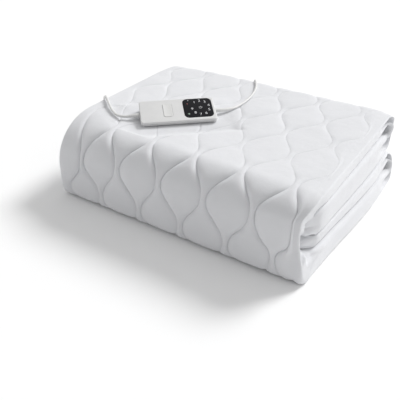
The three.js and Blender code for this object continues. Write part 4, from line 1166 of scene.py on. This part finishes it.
# %% Rounded rectangles in the plane of the control
DISPLAY = {"x": 37.2, "y": 2.3, "length": 52.8, "width": 53, "corner": 9, "depth": 1.6}
KEY = {
    "x": -18.4, "y": 1, "length": 16.4, "width": 37.5, "corner": 4.5,
    "proud": 0.6, "body": 1.9, "travel": 0.8, "dish": 0.35, "dish_edge": 7.4, "dish_reach": 6.5,
}
CLEARANCE = 0.35                    # round the panel and the key, and at the parting line
CORNER_STEPS = 12
LEAST_CORNER = 0.4


def outline(size, inset, grow=0.0):
    """Points round a rounded rectangle, drawn in by the inset: four quarter circles and the sides."""
    radius = max(size["corner"] + grow - inset, LEAST_CORNER)
    half_length = size["length"] / 2 + grow - inset - radius
    half_width = size["width"] / 2 + grow - inset - radius
    angle = np.linspace(0, pi / 2, CORNER_STEPS)
    parts = []
    for sx, sy, turned in ((1, 1, 0), (-1, 1, pi / 2), (-1, -1, pi), (1, -1, 3 * pi / 2)):
        u = size.get("x", 0) + sx * half_length + radius * np.cos(angle + turned)
        v = size.get("y", 0) + sy * half_width + radius * np.sin(angle + turned)
        parts.append(np.stack([u, v], -1))
    return np.vstack(parts)


def rings_of(size, rows, grow=0.0):
    """Rings from rows of inset and height; a height may be a function of the place across."""
    rings = []
    for inset, height in rows:
        flat = outline(size, inset, grow)
        z = height(flat[:, 1]) if callable(height) else np.full(len(flat), float(height))
        rings.append(np.column_stack([flat, z]))
    return np.array(rings)


def round_edge(inset0, height0, inset1, height1, steps=6):
    """Rows along a quarter ellipse from a side to a face, upright at first and level at the end."""
    angle = np.linspace(0, pi / 2, steps)
    return [(mix(inset0, inset1, 1 - cos(a)), mix(height0, height1, sin(a))) for a in angle]


for part, size in (("display", DISPLAY), ("key", KEY)):
    print(part, size["length"], "by", size["width"], "mm")

# %% [markdown]
# ### The two housings
# The cover is the part that is looked at, so its edge is rounded over 2 mm, its lower rim has a small
# step where it meets the base, and each opening has a fine rounded edge before its walls go down. The
# two wells end in flat floors, because the display and the key stand in them as pieces of their own.

# %% Cover with its display seat and key well
COVER_ROWS = [                      # inset and height, from the parting line up to the flat face
    (0.8, -CONTROL["parting"]), (0.3, 0.3 - CONTROL["parting"]), (0, 0.9 - CONTROL["parting"]),
    (0, -2.4), *round_edge(0, -2.2, 1.8, 0, 8),
]
MOULDED_EDGE = 30                   # degrees: edges that bend more stay sharp
OPENING_ROWS = [(-0.3, 0.0), (-0.18, -0.05), (-0.05, -0.15), (0, -0.35)]


def cover_mesh():
    """Side rings up to the rim of the flat face, that face with two openings, and the two wells."""
    side = rings_of(CONTROL, COVER_ROWS)
    seat = rings_of(DISPLAY, OPENING_ROWS + [(0, -DISPLAY["depth"] - CLEARANCE)], CLEARANCE)
    well = rings_of(KEY, OPENING_ROWS + [(0, -KEY["body"] - KEY["travel"] - CLEARANCE)], CLEARANCE)
    count = side.shape[1]
    points = np.vstack([side.reshape(-1, 3), seat.reshape(-1, 3), well.reshape(-1, 3)])
    seat_start = len(side) * count
    well_start = seat_start + len(seat) * count
    rim = (len(side) - 1) * count + np.arange(count)
    openings = [seat_start + np.arange(count), well_start + np.arange(count)]
    loops = [[Vector((*points[i, :2], 0)) for i in ring] for ring in (rim, *openings)]
    face = np.concatenate([rim, *openings])[np.array(tessellate_polygon(loops))]
    first, second, third = (points[face[:, k]] for k in range(3))
    up = np.cross(second - first, third - first)[:, 2]
    face = np.where(up[:, None] > 0, face, face[:, ::-1])
    quads = [grid_faces(len(side), count),
             seat_start + grid_faces(len(seat), count)[:, ::-1],
             well_start + grid_faces(len(well), count)[:, ::-1]]
    floors = np.array([
        np.arange(count)[::-1],
        seat_start + (len(seat) - 1) * count + np.arange(count),
        well_start + (len(well) - 1) * count + np.arange(count),
    ])
    faces = [np.vstack(quads), face, floors]
    return make_piece("cover_moulding", on_control(points), faces, MOULDED_EDGE)


cover = cover_mesh()
print("cover has", len(cover.data.polygons), "faces")

# %% Base below the parting line
BASE = {"draft": 0.5, "round_inset": 2.4, "round_height": 1.8}


def base_mesh():
    """The wedge below the parting line, its underside sloping from the near to the far thickness. Its
    side draws in a little, then rounds under along a quarter ellipse."""
    top = -CONTROL["parting"] - CLEARANCE
    draft, inset, rounding = BASE["draft"], BASE["round_inset"], BASE["round_height"]
    rows = [(0.8, top), (0.3, top - 0.25), (0, top - 0.8)]
    rows += [(draft * s, lambda v, s=s: mix(top - 0.9, rounding - thickness_at(v), s)) for s in (0.4, 1)]
    rows += [(mix(draft, inset, 1 - cos(a)), lambda v, a=a: rounding * (1 - sin(a)) - thickness_at(v))
             for a in np.linspace(0.25, pi / 2, 7)]
    return loft("base_moulding", on_control(rings_of(CONTROL, rows)), MOULDED_EDGE)


base = base_mesh()
print("base has", len(base.data.polygons), "faces")

# %% [markdown]
# ### Display and key
# The display is a flat black panel, flush in its seat, and the key a shallow dished cap in its well. Both
# are the same rounded rectangle in rings, with a softly rounded rim. The key's face falls towards its
# middle along a parabola, as a fingertip's dish does. The key moves, so its well is deeper by its travel.

# %% Display panel and key
panel_rows = [(0, -DISPLAY["depth"]), (0, -0.25)] + round_edge(0, -0.2, 0.5, 0.15, 5)
panel = loft("display_glass", on_control(rings_of(DISPLAY, panel_rows)), MOULDED_EDGE)


def key_height(inset):
    """Height of the key's face at an inset from its side: a parabola that is lowest in the middle."""
    from_middle = (KEY["dish_edge"] - inset) / KEY["dish_reach"]
    return KEY["proud"] - KEY["dish"] * (1 - from_middle ** 2)


KEY_EDGE = 40                       # degrees: its upright side stays sharp, its rim and dish are smooth
key_rows = [(0, -KEY["body"]), (0, 0)] + round_edge(0, 0.05, 0.9, KEY["proud"], 6)
key_rows += [(inset, key_height(inset)) for inset in (1.6, 2.6, 3.8, 5.2, 6.6, 7.4)]
key_cap = loft("key_cap", on_control(rings_of(KEY, key_rows)), KEY_EDGE)
print("key stands", KEY["proud"], "mm proud and sinks by", KEY["travel"], "mm")

# %% [markdown]
# ## Marks on the display
# The display carries only plain marks: the figures 1 to 9 in a ring, an on and off sign in the middle,
# and three small lamps. The figures are Blender's own letters made into meshes. The ring of the sign is
# a strip between two arcs. All lie a hair above the glass as thin prints.

# %% Figures, sign and lamps
MARKS = {                           # middle of the ring, its reach, a figure's height, angles in degrees
    "x": 42.2, "y": 2.8, "along": 16, "across": 19.5, "height": 6.2, "first": 128, "step": -37.5,
    "lift": 0.22, "ink": 0.05,
}
SIGN = {"radius": 2.7, "wide": 0.55, "gap": 38, "bar_half": 0.3, "bar_from": 0.4, "bar_to": 3.4}
LAMPS = (                           # place on the display, radius and material
    {"x": 18.9, "y": 14.8, "radius": 1.1, "slot": "red"},
    {"x": 18.7, "y": -14.1, "radius": 2.2, "slot": "green"},
    {"x": 21.6, "y": 24.3, "radius": 0.9, "slot": "pale"},
)


def figure_points(text):
    """Outline points and faces of one figure, one unit high, with its middle at the origin."""
    curve = bpy.data.curves.new("figure", "FONT")
    curve.body = text
    curve.align_x = "CENTER"
    curve.align_y = "CENTER"
    curve.resolution_u = 3
    letter = bpy.data.objects.new("figure", curve)
    mesh = bpy.data.meshes.new_from_object(letter)
    points = np.zeros(len(mesh.vertices) * 3)
    mesh.vertices.foreach_get("co", points)
    points = points.reshape(-1, 3)
    mesh.calc_loop_triangles()
    faces = np.zeros(len(mesh.loop_triangles) * 3, int)
    mesh.loop_triangles.foreach_get("vertices", faces)
    bpy.data.objects.remove(letter)
    bpy.data.meshes.remove(mesh)
    middle = (points[:, :2].min(0) + points[:, :2].max(0)) / 2
    size = np.ptp(points[:, 1])
    return (points[:, :2] - middle) / size, faces.reshape(-1, 3)


def arc_strip(radius, wide, start, end, steps=28):
    """A flat strip between two arcs, or a ring where start and end are a full turn apart."""
    angle = np.radians(np.linspace(start, end, steps))
    ring = np.stack([np.cos(angle), np.sin(angle)], -1)
    points = np.vstack([(radius - wide / 2) * ring, (radius + wide / 2) * ring])
    first = np.arange(steps - 1)
    quads = np.stack([first, first + steps, first + steps + 1, first + 1], -1)
    return points, np.vstack([quads[:, [0, 1, 2]], quads[:, [0, 2, 3]]])


def disc(radius, steps=24):
    """A flat disc as a fan of triangles."""
    angle = 2 * pi * np.arange(steps) / steps
    points = np.vstack([[0, 0], radius * np.stack([np.cos(angle), np.sin(angle)], -1)])
    ring = 1 + np.arange(steps)
    return points, np.stack([0 * ring, ring, 1 + (ring % steps)], -1)


def prints(name, parts):
    """Flat prints as one thin closed mesh: each has a face above, one below and walls at free edges."""
    points, faces = [], []
    start = 0
    for flat, triangles in parts:
        count = len(flat)
        for height in (MARKS["lift"], MARKS["lift"] + MARKS["ink"]):
            points.append(np.column_stack([flat, np.full(count, height)]))
        edges_of = np.vstack([triangles[:, [0, 1]], triangles[:, [1, 2]], triangles[:, [2, 0]]])
        keys = set(map(tuple, edges_of))
        free = np.array([edge for edge in edges_of if (edge[1], edge[0]) not in keys])
        walls = np.column_stack([free[:, 0], free[:, 1], free[:, 1] + count, free[:, 0] + count])
        upper = triangles + count
        faces += [start + triangles[:, ::-1], start + upper,
                  start + walls[:, [0, 1, 2]], start + walls[:, [0, 2, 3]]]
        start += 2 * count
    return make_piece(name, on_control(np.vstack(points)), [np.vstack(faces)])

# %% The marks as thin prints
def pale_marks():
    """The ring of figures, each upright as seen along the control, and the sign in the middle."""
    parts = []
    middle = np.array([MARKS["x"], MARKS["y"]])
    for n in range(1, 10):
        angle = radians(MARKS["first"] + MARKS["step"] * (n - 1))
        flat, triangles = figure_points(str(n))
        place = middle + (MARKS["along"] * cos(angle), MARKS["across"] * sin(angle))
        parts.append((place + MARKS["height"] * flat, triangles))
    ring, triangles = arc_strip(SIGN["radius"], SIGN["wide"], 90 + SIGN["gap"], 450 - SIGN["gap"])
    parts.append((ring + middle, triangles))
    half, low, high = SIGN["bar_half"], SIGN["bar_from"], SIGN["bar_to"]
    bar = np.array([[-half, low], [half, low], [half, high], [-half, high]])
    parts.append((bar + middle, np.array([[0, 1, 2], [0, 2, 3]])))
    return prints("display_figures", parts)


figures = pale_marks()
lamps = []
for lamp in LAMPS:
    flat, triangles = disc(lamp["radius"])
    lamps.append(prints(f"lamp_{lamp['slot']}", [(flat + (lamp["x"], lamp["y"]), triangles)]))
print("marks:", len(figures.data.polygons), "faces")

# %% [markdown]
# ## Finishes: shared effects
# A finish is a small tree of shader nodes. Two effects are used by more than one finish, so each is a
# node group: a weave, which crosses two waves of threads and adds a soft nap, and the fine grain of
# moulded plastic. A group gives back heights and shades only, and each finish decides what to do with
# them.

# %% Helpers for node trees
def fill_inputs(tree, node, inputs):
    """Sets each named input of a node to its value, or links it where the value is another socket."""
    for key, value in inputs.items():
        if isinstance(value, bpy.types.NodeSocket):
            tree.links.new(value, node.inputs[key])
        else:
            node.inputs[key].default_value = value


def add_node(tree, kind, inputs=None, **settings):
    """A new node with its settings, and its inputs filled."""
    made = tree.nodes.new(kind)
    for key, value in settings.items():
        setattr(made, key, value)
    fill_inputs(tree, made, inputs or {})
    return made


def math_node(tree, operation, a, b=0.0, c=0.0):
    """The result of one sum on values or sockets. Only MULTIPLY_ADD reads the third: a times b plus c."""
    return add_node(tree, "ShaderNodeMath", {0: a, 1: b, 2: c}, operation=operation).outputs[0]


def noise(tree, vector, scale, detail=2.0, roughness=0.5):
    """Soft noise from 0 to 1 at the given number of waves in a metre."""
    return add_node(tree, "ShaderNodeTexNoise", {
        "Vector": vector, "Scale": scale, "Detail": detail, "Roughness": roughness}).outputs["Fac"]


def new_group(name, inputs, outputs):
    """An empty node group with named inputs, each with its kind and value, and named outputs."""
    tree = bpy.data.node_groups.new(name, "ShaderNodeTree")
    for label, kind, value in inputs:
        socket = tree.interface.new_socket(label, in_out="INPUT", socket_type=kind)
        if value is not None:
            socket.default_value = value
    for label in outputs:
        tree.interface.new_socket(label, in_out="OUTPUT", socket_type="NodeSocketFloat")
    return tree, tree.nodes.new("NodeGroupInput"), tree.nodes.new("NodeGroupOutput")


def use_group(tree, group, inputs):
    """A shared effect placed in a tree with its own values."""
    return add_node(tree, "ShaderNodeGroup", inputs, node_tree=group)


print("helpers for nodes are ready;", len(bpy.data.node_groups), "shared effects so far")

# %% Weave and moulded grain
THREAD_HEIGHT = 0.3                 # of the weave's threads against its nap
NAP_FINENESS = 900.0                # waves in a metre
PATCHES = {"cloth": 14.0, "moulding": 60.0}


def weave_group():
    """Height of a plain weave: the product of two sine waves across each other, with the nap's noise
    on top, and a shade that follows broad patches of the nap."""
    tree, source, result = new_group("weave", [
        ("Vector", "NodeSocketVector", None), ("Threads", "NodeSocketFloat", 1200.0),
        ("Nap", "NodeSocketFloat", 0.5)], ["Height", "Shade"])
    parts = add_node(tree, "ShaderNodeSeparateXYZ", {0: source.outputs["Vector"]})
    waves = []
    for axis in (0, 1):
        turned = math_node(tree, "MULTIPLY", parts.outputs[axis], source.outputs["Threads"])
        turned = math_node(tree, "MULTIPLY", turned, pi)
        waves.append(math_node(tree, "SINE", turned))
    crossed = math_node(tree, "MULTIPLY", waves[0], waves[1])
    fuzz = noise(tree, source.outputs["Vector"], NAP_FINENESS, 3.0, 0.6)
    nap = math_node(tree, "MULTIPLY", fuzz, source.outputs["Nap"])
    height = math_node(tree, "MULTIPLY_ADD", crossed, THREAD_HEIGHT, nap)
    shade = noise(tree, source.outputs["Vector"], PATCHES["cloth"], 3.0, 0.55)
    fill_inputs(tree, result, {"Height": height, "Shade": shade})
    return tree


def grain_group():
    """Height and shade of a moulded skin: fine sparks of noise over broad soft ones."""
    tree, source, result = new_group("moulded_grain", [
        ("Vector", "NodeSocketVector", None), ("Fineness", "NodeSocketFloat", 2500.0),
    ], ["Height", "Shade"])
    fine = noise(tree, source.outputs["Vector"], source.outputs["Fineness"], 2.0, 0.6)
    shade = noise(tree, source.outputs["Vector"], PATCHES["moulding"], 2.0)
    fill_inputs(tree, result, {"Height": fine, "Shade": shade})
    return tree


weave = weave_group()
grain = grain_group()
print("shared effects:", weave.name, "and", grain.name)

# %% [markdown]
# ## Finishes: the cloth
# The quilt is a matt white brushed cloth. Light goes a little way into its nap, so it gets a wide sheen
# and almost no gloss. Its white isn't even: the pressed pillows catch broad, weak patches of warmer and
# cooler white. Deep in the sewn lines the cloth is painted a little greyer, as painted shade with some
# dust.

# %% Helpers for finishes
def start_material(name):
    """A new material with its tree, its shader and the place of a point on the piece."""
    material = bpy.data.materials.new(name)
    material.use_nodes = True
    tree = material.node_tree
    shader = tree.nodes["Principled BSDF"]
    place = tree.nodes.new("ShaderNodeTexCoord").outputs["Object"]
    return material, tree, shader, place


def ramp(tree, share, low, high):
    """A straight blend from the low colour to the high one. A colour may also come from a socket."""
    first, last = (end if isinstance(end, bpy.types.NodeSocket) else (*end, 1) for end in (low, high))
    colours = {"Factor": share, 6: first, 7: last}
    return add_node(tree, "ShaderNodeMix", colours, data_type="RGBA").outputs[2]


def tilt(tree, height, distance, strength):
    """The surface's normal, tilted by the slopes of a height."""
    values = {"Height": height, "Distance": distance, "Strength": strength}
    return add_node(tree, "ShaderNodeBump", values).outputs["Normal"]


print("helpers for finishes are ready;", len(bpy.data.materials), "materials so far")

# %% Quilt
# The line colour is painted shade, with some dust, deep in the sewn lines.
QUILT = {                           # shades are linear red, green and blue; the bump is in metres
    "low": (0.724, 0.731, 0.752), "high": (0.786, 0.79, 0.81), "line": (0.74, 0.745, 0.77),
    "dust_and_shade_amount": 0.25, "threads": 1100.0, "nap": 0.9, "crinkle": 55.0, "crinkle_height": 4.0,
    "bump": 0.00022,
}


def quilt_material():
    """White brushed cloth whose weave follows the cloth's own UV map. A soft crinkle, much broader
    than the threads, keeps the pillows from looking like plaster."""
    material, tree, shader, place = start_material("quilt_cloth")
    cloth_uv = add_node(tree, "ShaderNodeUVMap", uv_map="cloth").outputs["UV"]
    woven = use_group(tree, weave, {"Vector": cloth_uv, "Threads": QUILT["threads"], "Nap": QUILT["nap"]})
    white = ramp(tree, woven.outputs["Shade"], QUILT["low"], QUILT["high"])
    # Painted shade, with some dust: the cloth is tinted greyer deep in the sewn lines
    groove_dust_and_shade_mark = add_node(tree, "ShaderNodeAttribute", attribute_name="groove_dust_and_shade").outputs["Fac"]
    groove_dust_and_shade_share = math_node(tree, "MULTIPLY", groove_dust_and_shade_mark, QUILT["dust_and_shade_amount"])
    crinkle = noise(tree, place, QUILT["crinkle"], 3.0, 0.55)
    height = math_node(tree, "MULTIPLY_ADD", crinkle, QUILT["crinkle_height"], woven.outputs["Height"])
    fill_inputs(tree, shader, {
        "Base Color": ramp(tree, groove_dust_and_shade_share, white, QUILT["line"]),
        "Normal": tilt(tree, height, QUILT["bump"], 0.8),
        "Roughness": 0.94, "Specular IOR Level": 0.2, "Sheen Weight": 0.25, "Sheen Roughness": 0.5,
    })
    return material

# %% Thread
def thread_material():
    """Sewing thread: white, slightly brighter and glossier than the cloth, with a fine twist."""
    material, tree, shader, place = start_material("sewing_thread")
    shade = noise(tree, place, 400.0, 1.0)
    fill_inputs(tree, shader, {
        "Base Color": ramp(tree, shade, (0.82, 0.82, 0.84), (0.9, 0.9, 0.92)),
        "Normal": tilt(tree, noise(tree, place, 4000.0, 1.0), 0.0001, 0.5),
        "Roughness": 0.6,
    })
    return material


quilt_finish = quilt_material()
thread_finish = thread_material()
print("cloth finishes:", quilt_finish.name, "and", thread_finish.name)

# %% [markdown]
# ## Finishes: mouldings, leads and metal
# The control, its key, the sleeves and the plug are white satin plastic with a fine grain, each with its
# own roughness. The lead is softer and a little greyer. The display is black and glossy, so it needs a
# smooth coat. The strap is woven, and the pins are drawn metal with fine lines along them.

# %% Plastics
MOULDINGS = {
    "housing": {"low": (0.70, 0.70, 0.70), "high": (0.76, 0.76, 0.755), "roughness": 0.42, "grain": 0.6},
    "key": {"low": (0.71, 0.71, 0.70), "high": (0.77, 0.77, 0.76), "roughness": 0.36, "grain": 0.4},
    "relief": {"low": (0.69, 0.69, 0.685), "high": (0.76, 0.76, 0.75), "roughness": 0.5, "grain": 0.5},
    "lead": {"low": (0.70, 0.70, 0.695), "high": (0.77, 0.77, 0.76), "roughness": 0.46, "grain": 0.35},
}
ROUGHNESS_SPREAD = 0.14             # from the smoothest to the roughest patch of one moulding


def moulded_material(name, look):
    """Satin plastic: its grain tilts the surface and breaks up its gloss, and its white varies softly."""
    material, tree, shader, place = start_material("white_" + name)
    skin = use_group(tree, grain, {"Vector": place, "Fineness": 2600.0})
    smoothest = look["roughness"] - ROUGHNESS_SPREAD / 2
    worn = math_node(tree, "MULTIPLY_ADD", skin.outputs["Shade"], ROUGHNESS_SPREAD, smoothest)
    fill_inputs(tree, shader, {
        "Base Color": ramp(tree, skin.outputs["Shade"], look["low"], look["high"]),
        "Normal": tilt(tree, skin.outputs["Height"], 0.00006, look["grain"]),
        "Roughness": worn,
    })
    return material


mouldings = {name: moulded_material(name, look) for name, look in MOULDINGS.items()}
print("mouldings:", ", ".join(mouldings))

# %% Display and its prints
def display_material():
    """Black glossy panel: nearly black, faintly mottled under a smooth coat."""
    material, tree, shader, place = start_material("black_display")
    skin = use_group(tree, grain, {"Vector": place, "Fineness": 900.0})
    fill_inputs(tree, shader, {
        "Base Color": ramp(tree, skin.outputs["Shade"], (0.009, 0.009, 0.011), (0.014, 0.014, 0.017)),
        "Normal": tilt(tree, skin.outputs["Shade"], 0.0002, 0.15),
        "Roughness": 0.22, "Specular IOR Level": 0.1, "Coat Weight": 0.06, "Coat Roughness": 0.05,
    })
    return material


def print_material(name, low, high):
    """Printed ink with a slight unevenness."""
    material, tree, shader, place = start_material("print_" + name)
    shade = noise(tree, place, 900.0)
    fill_inputs(tree, shader, {"Base Color": ramp(tree, shade, low, high), "Roughness": 0.4})
    return material


PRINTS = {                          # linear shades, from the darkest to the brightest patch of the ink
    "pale": ((0.72, 0.72, 0.74), (0.84, 0.84, 0.86)),
    "red": ((0.3, 0.06, 0.05), (0.38, 0.08, 0.07)),
    "green": ((0.16, 0.24, 0.18), (0.22, 0.3, 0.24)),
}
display_finish = display_material()
prints_finish = {name: print_material(name, *shades) for name, shades in PRINTS.items()}
print("display finishes:", display_finish.name, "and prints in", ", ".join(prints_finish))

# %% Strap and pins
def strap_material():
    """Grey woven tape with a looped face."""
    material, tree, shader, place = start_material("strap_tape")
    woven = use_group(tree, weave, {"Vector": place, "Threads": 900.0, "Nap": 1.0})
    fill_inputs(tree, shader, {
        "Base Color": ramp(tree, woven.outputs["Height"], (0.42, 0.42, 0.42), (0.66, 0.66, 0.66)),
        "Normal": tilt(tree, woven.outputs["Height"], 0.0002, 0.8),
        "Roughness": 0.9, "Sheen Weight": 0.3,
    })
    return material


def pin_material():
    """Plated metal, drawn along Y: noise stretched that way makes its fine lines."""
    material, tree, shader, place = start_material("plated_pin")
    stretched = add_node(tree, "ShaderNodeMapping", {"Vector": place, "Scale": (4000, 120, 4000)})
    lines = noise(tree, stretched.outputs["Vector"], 1.0, 2.0)
    fill_inputs(tree, shader, {
        "Base Color": ramp(tree, lines, (0.62, 0.62, 0.63), (0.78, 0.78, 0.79)),
        "Normal": tilt(tree, lines, 0.00003, 0.5),
        "Metallic": 1.0, "Roughness": 0.28,
    })
    return material


strap_finish = strap_material()
pin_finish = pin_material()
print(len(bpy.data.materials), "materials in all")

# %% [markdown]
# ## Every piece in its place
# Now each piece gets its finish, the body it moves with and the solids it stands for. Only the key moves
# by itself: all else rides on the folded blanket.

# %% Pieces, finishes and bodies
settle_piece(quilt, quilt_finish, ["blanket"])
settle_piece(stitches, thread_finish)
settle_piece(cover, mouldings["housing"], ["control_cover"])
settle_piece(base, mouldings["housing"], ["control_base"])
settle_piece(panel, display_finish, ["display_panel"])
settle_piece(key_cap, mouldings["key"], ["press_key"], KEY_BODY)
settle_piece(figures, prints_finish["pale"])
for lamp, look in zip(lamps, LAMPS):
    settle_piece(lamp, prints_finish[look["slot"]])
settle_piece(mains_sleeve, mouldings["relief"], ["mains_relief"])
settle_piece(blanket_sleeve, mouldings["relief"], ["blanket_relief"])
settle_piece(cloth_gland, mouldings["relief"], ["blanket_gland"])
settle_piece(plug, mouldings["relief"], ["plug_body"])
for letter, pin in zip("ab", pins):
    settle_piece(pin, pin_finish, [f"plug_pin_{letter}"])
settle_piece(strap, strap_finish, ["coil_tie"])
settle_piece(mains_cord, mouldings["lead"], ["mains_lead", "mains_coil", "mains_tail"])
settle_piece(blanket_cord, mouldings["lead"], ["blanket_lead"])

# %% [markdown]
# ### Soft things
# The leads and the cloth are soft on the real object. Each lead runs its whole length, from where it
# leaves its moulding to what hangs on it.

# %% [markdown]
# ## Floor and light
# The blanket lies on a plain white floor under soft studio light. The main lamp, behind and to the right,
# makes the top bright and throws a soft shadow forwards and to the left. A weak, very wide lamp low on
# the left grazes the front, so each groove there has a bright flank and a dark one. Four wide glows
# stand behind, above and beside the blanket, and a low band of haze keeps the floor's far edge pale.
# They could be area lamps, but as part of the world they are smooth and throw no shadow edges.

# %% Floor
FLOOR = {"half_m": 20.0, "low": (0.955, 0.955, 0.955), "high": (0.965, 0.965, 0.965), "patches": 2.0}
floor_points = FLOOR["half_m"] * np.array([[-1, -1, 0], [1, -1, 0], [1, 1, 0], [-1, 1, 0]])
floor_mesh = bpy.data.meshes.new("floor")
floor_mesh.from_pydata(floor_points.tolist(), [], [[0, 1, 2, 3]])
floor = bpy.data.objects.new("floor", floor_mesh)
bpy.context.scene.collection.objects.link(floor)
floor_finish, floor_tree, floor_shader, floor_place = start_material("studio_floor")
floor_patches = noise(floor_tree, floor_place, FLOOR["patches"])
fill_inputs(floor_tree, floor_shader, {
    "Base Color": ramp(floor_tree, floor_patches, FLOOR["low"], FLOOR["high"]),
    "Roughness": 1.0, "Specular IOR Level": 0.0,
})
floor.data.materials.append(floor_finish)
print("floor", 2 * FLOOR["half_m"], "m wide")

# %% Lamps
LAMPS_ROUND = (
    {"name": "main", "from": (0.272, 0.692, 0.668), "strength": 2.2, "angle": 20},
    {"name": "grazing", "from": (-0.93, -0.3, 0.24), "strength": 0.85, "angle": 50},
)
for look in LAMPS_ROUND:
    lamp_data = bpy.data.lights.new("lamp_" + look["name"], "SUN")
    lamp_data.energy = look["strength"]
    lamp_data.angle = radians(look["angle"])
    lamp_object = bpy.data.objects.new("lamp_" + look["name"], lamp_data)
    lamp_object.rotation_euler = Vector(look["from"]).to_track_quat("Z", "Y").to_euler()
    bpy.context.scene.collection.objects.link(lamp_object)
    print("lamp", look["name"], "is", look["angle"], "degrees wide")

# %% Sky
GLOWS = (
    {"name": "right", "towards": (1, 0, 0.25), "strength": 0.9, "sharpness": 3},
    {"name": "left", "towards": (-1, 0, 0.25), "strength": 0.2, "sharpness": 3},
    {"name": "back", "towards": (0, 1, 0.3), "strength": 0.8, "sharpness": 3},
    {"name": "above", "towards": (0, 0, 1), "strength": 0.6, "sharpness": 3},
)
HAZE = {"full": 0.06, "none": 0.2, "strength": 0.45}   # by the sine of the angle above the floor


def glow(tree, way, look):
    """Brightness of one glow: the cosine of the angle to its middle, raised to its sharpness."""
    middle = Vector(look["towards"]).normalized()
    product = add_node(tree, "ShaderNodeVectorMath", {0: way, 1: middle}, operation="DOT_PRODUCT")
    cosine = math_node(tree, "MAXIMUM", product.outputs["Value"], 0.0)
    shape = math_node(tree, "POWER", cosine, look["sharpness"])
    return math_node(tree, "MULTIPLY", shape, look["strength"])


world = bpy.data.worlds.new("studio")
world.use_nodes = True
sky_tree = world.node_tree
sky_way = sky_tree.nodes.new("ShaderNodeTexCoord").outputs["Generated"]
sky_height = add_node(sky_tree, "ShaderNodeSeparateXYZ", {0: sky_way}).outputs["Z"]
haze = add_node(sky_tree, "ShaderNodeMapRange", {
    "Value": sky_height, "From Min": HAZE["full"], "From Max": HAZE["none"],
    "To Min": HAZE["strength"], "To Max": 0.0,
}, interpolation_type="SMOOTHSTEP")
brightness = haze.outputs["Result"]
for look in GLOWS:
    brightness = math_node(sky_tree, "ADD", glow(sky_tree, sky_way, look), brightness)
fill_inputs(sky_tree, sky_tree.nodes["Background"], {"Color": (1, 1, 1, 1), "Strength": brightness})
bpy.context.scene.world = world
bpy.context.scene.view_settings.view_transform = "Standard"
print("sky has", len(GLOWS), "glows and a band of haze")
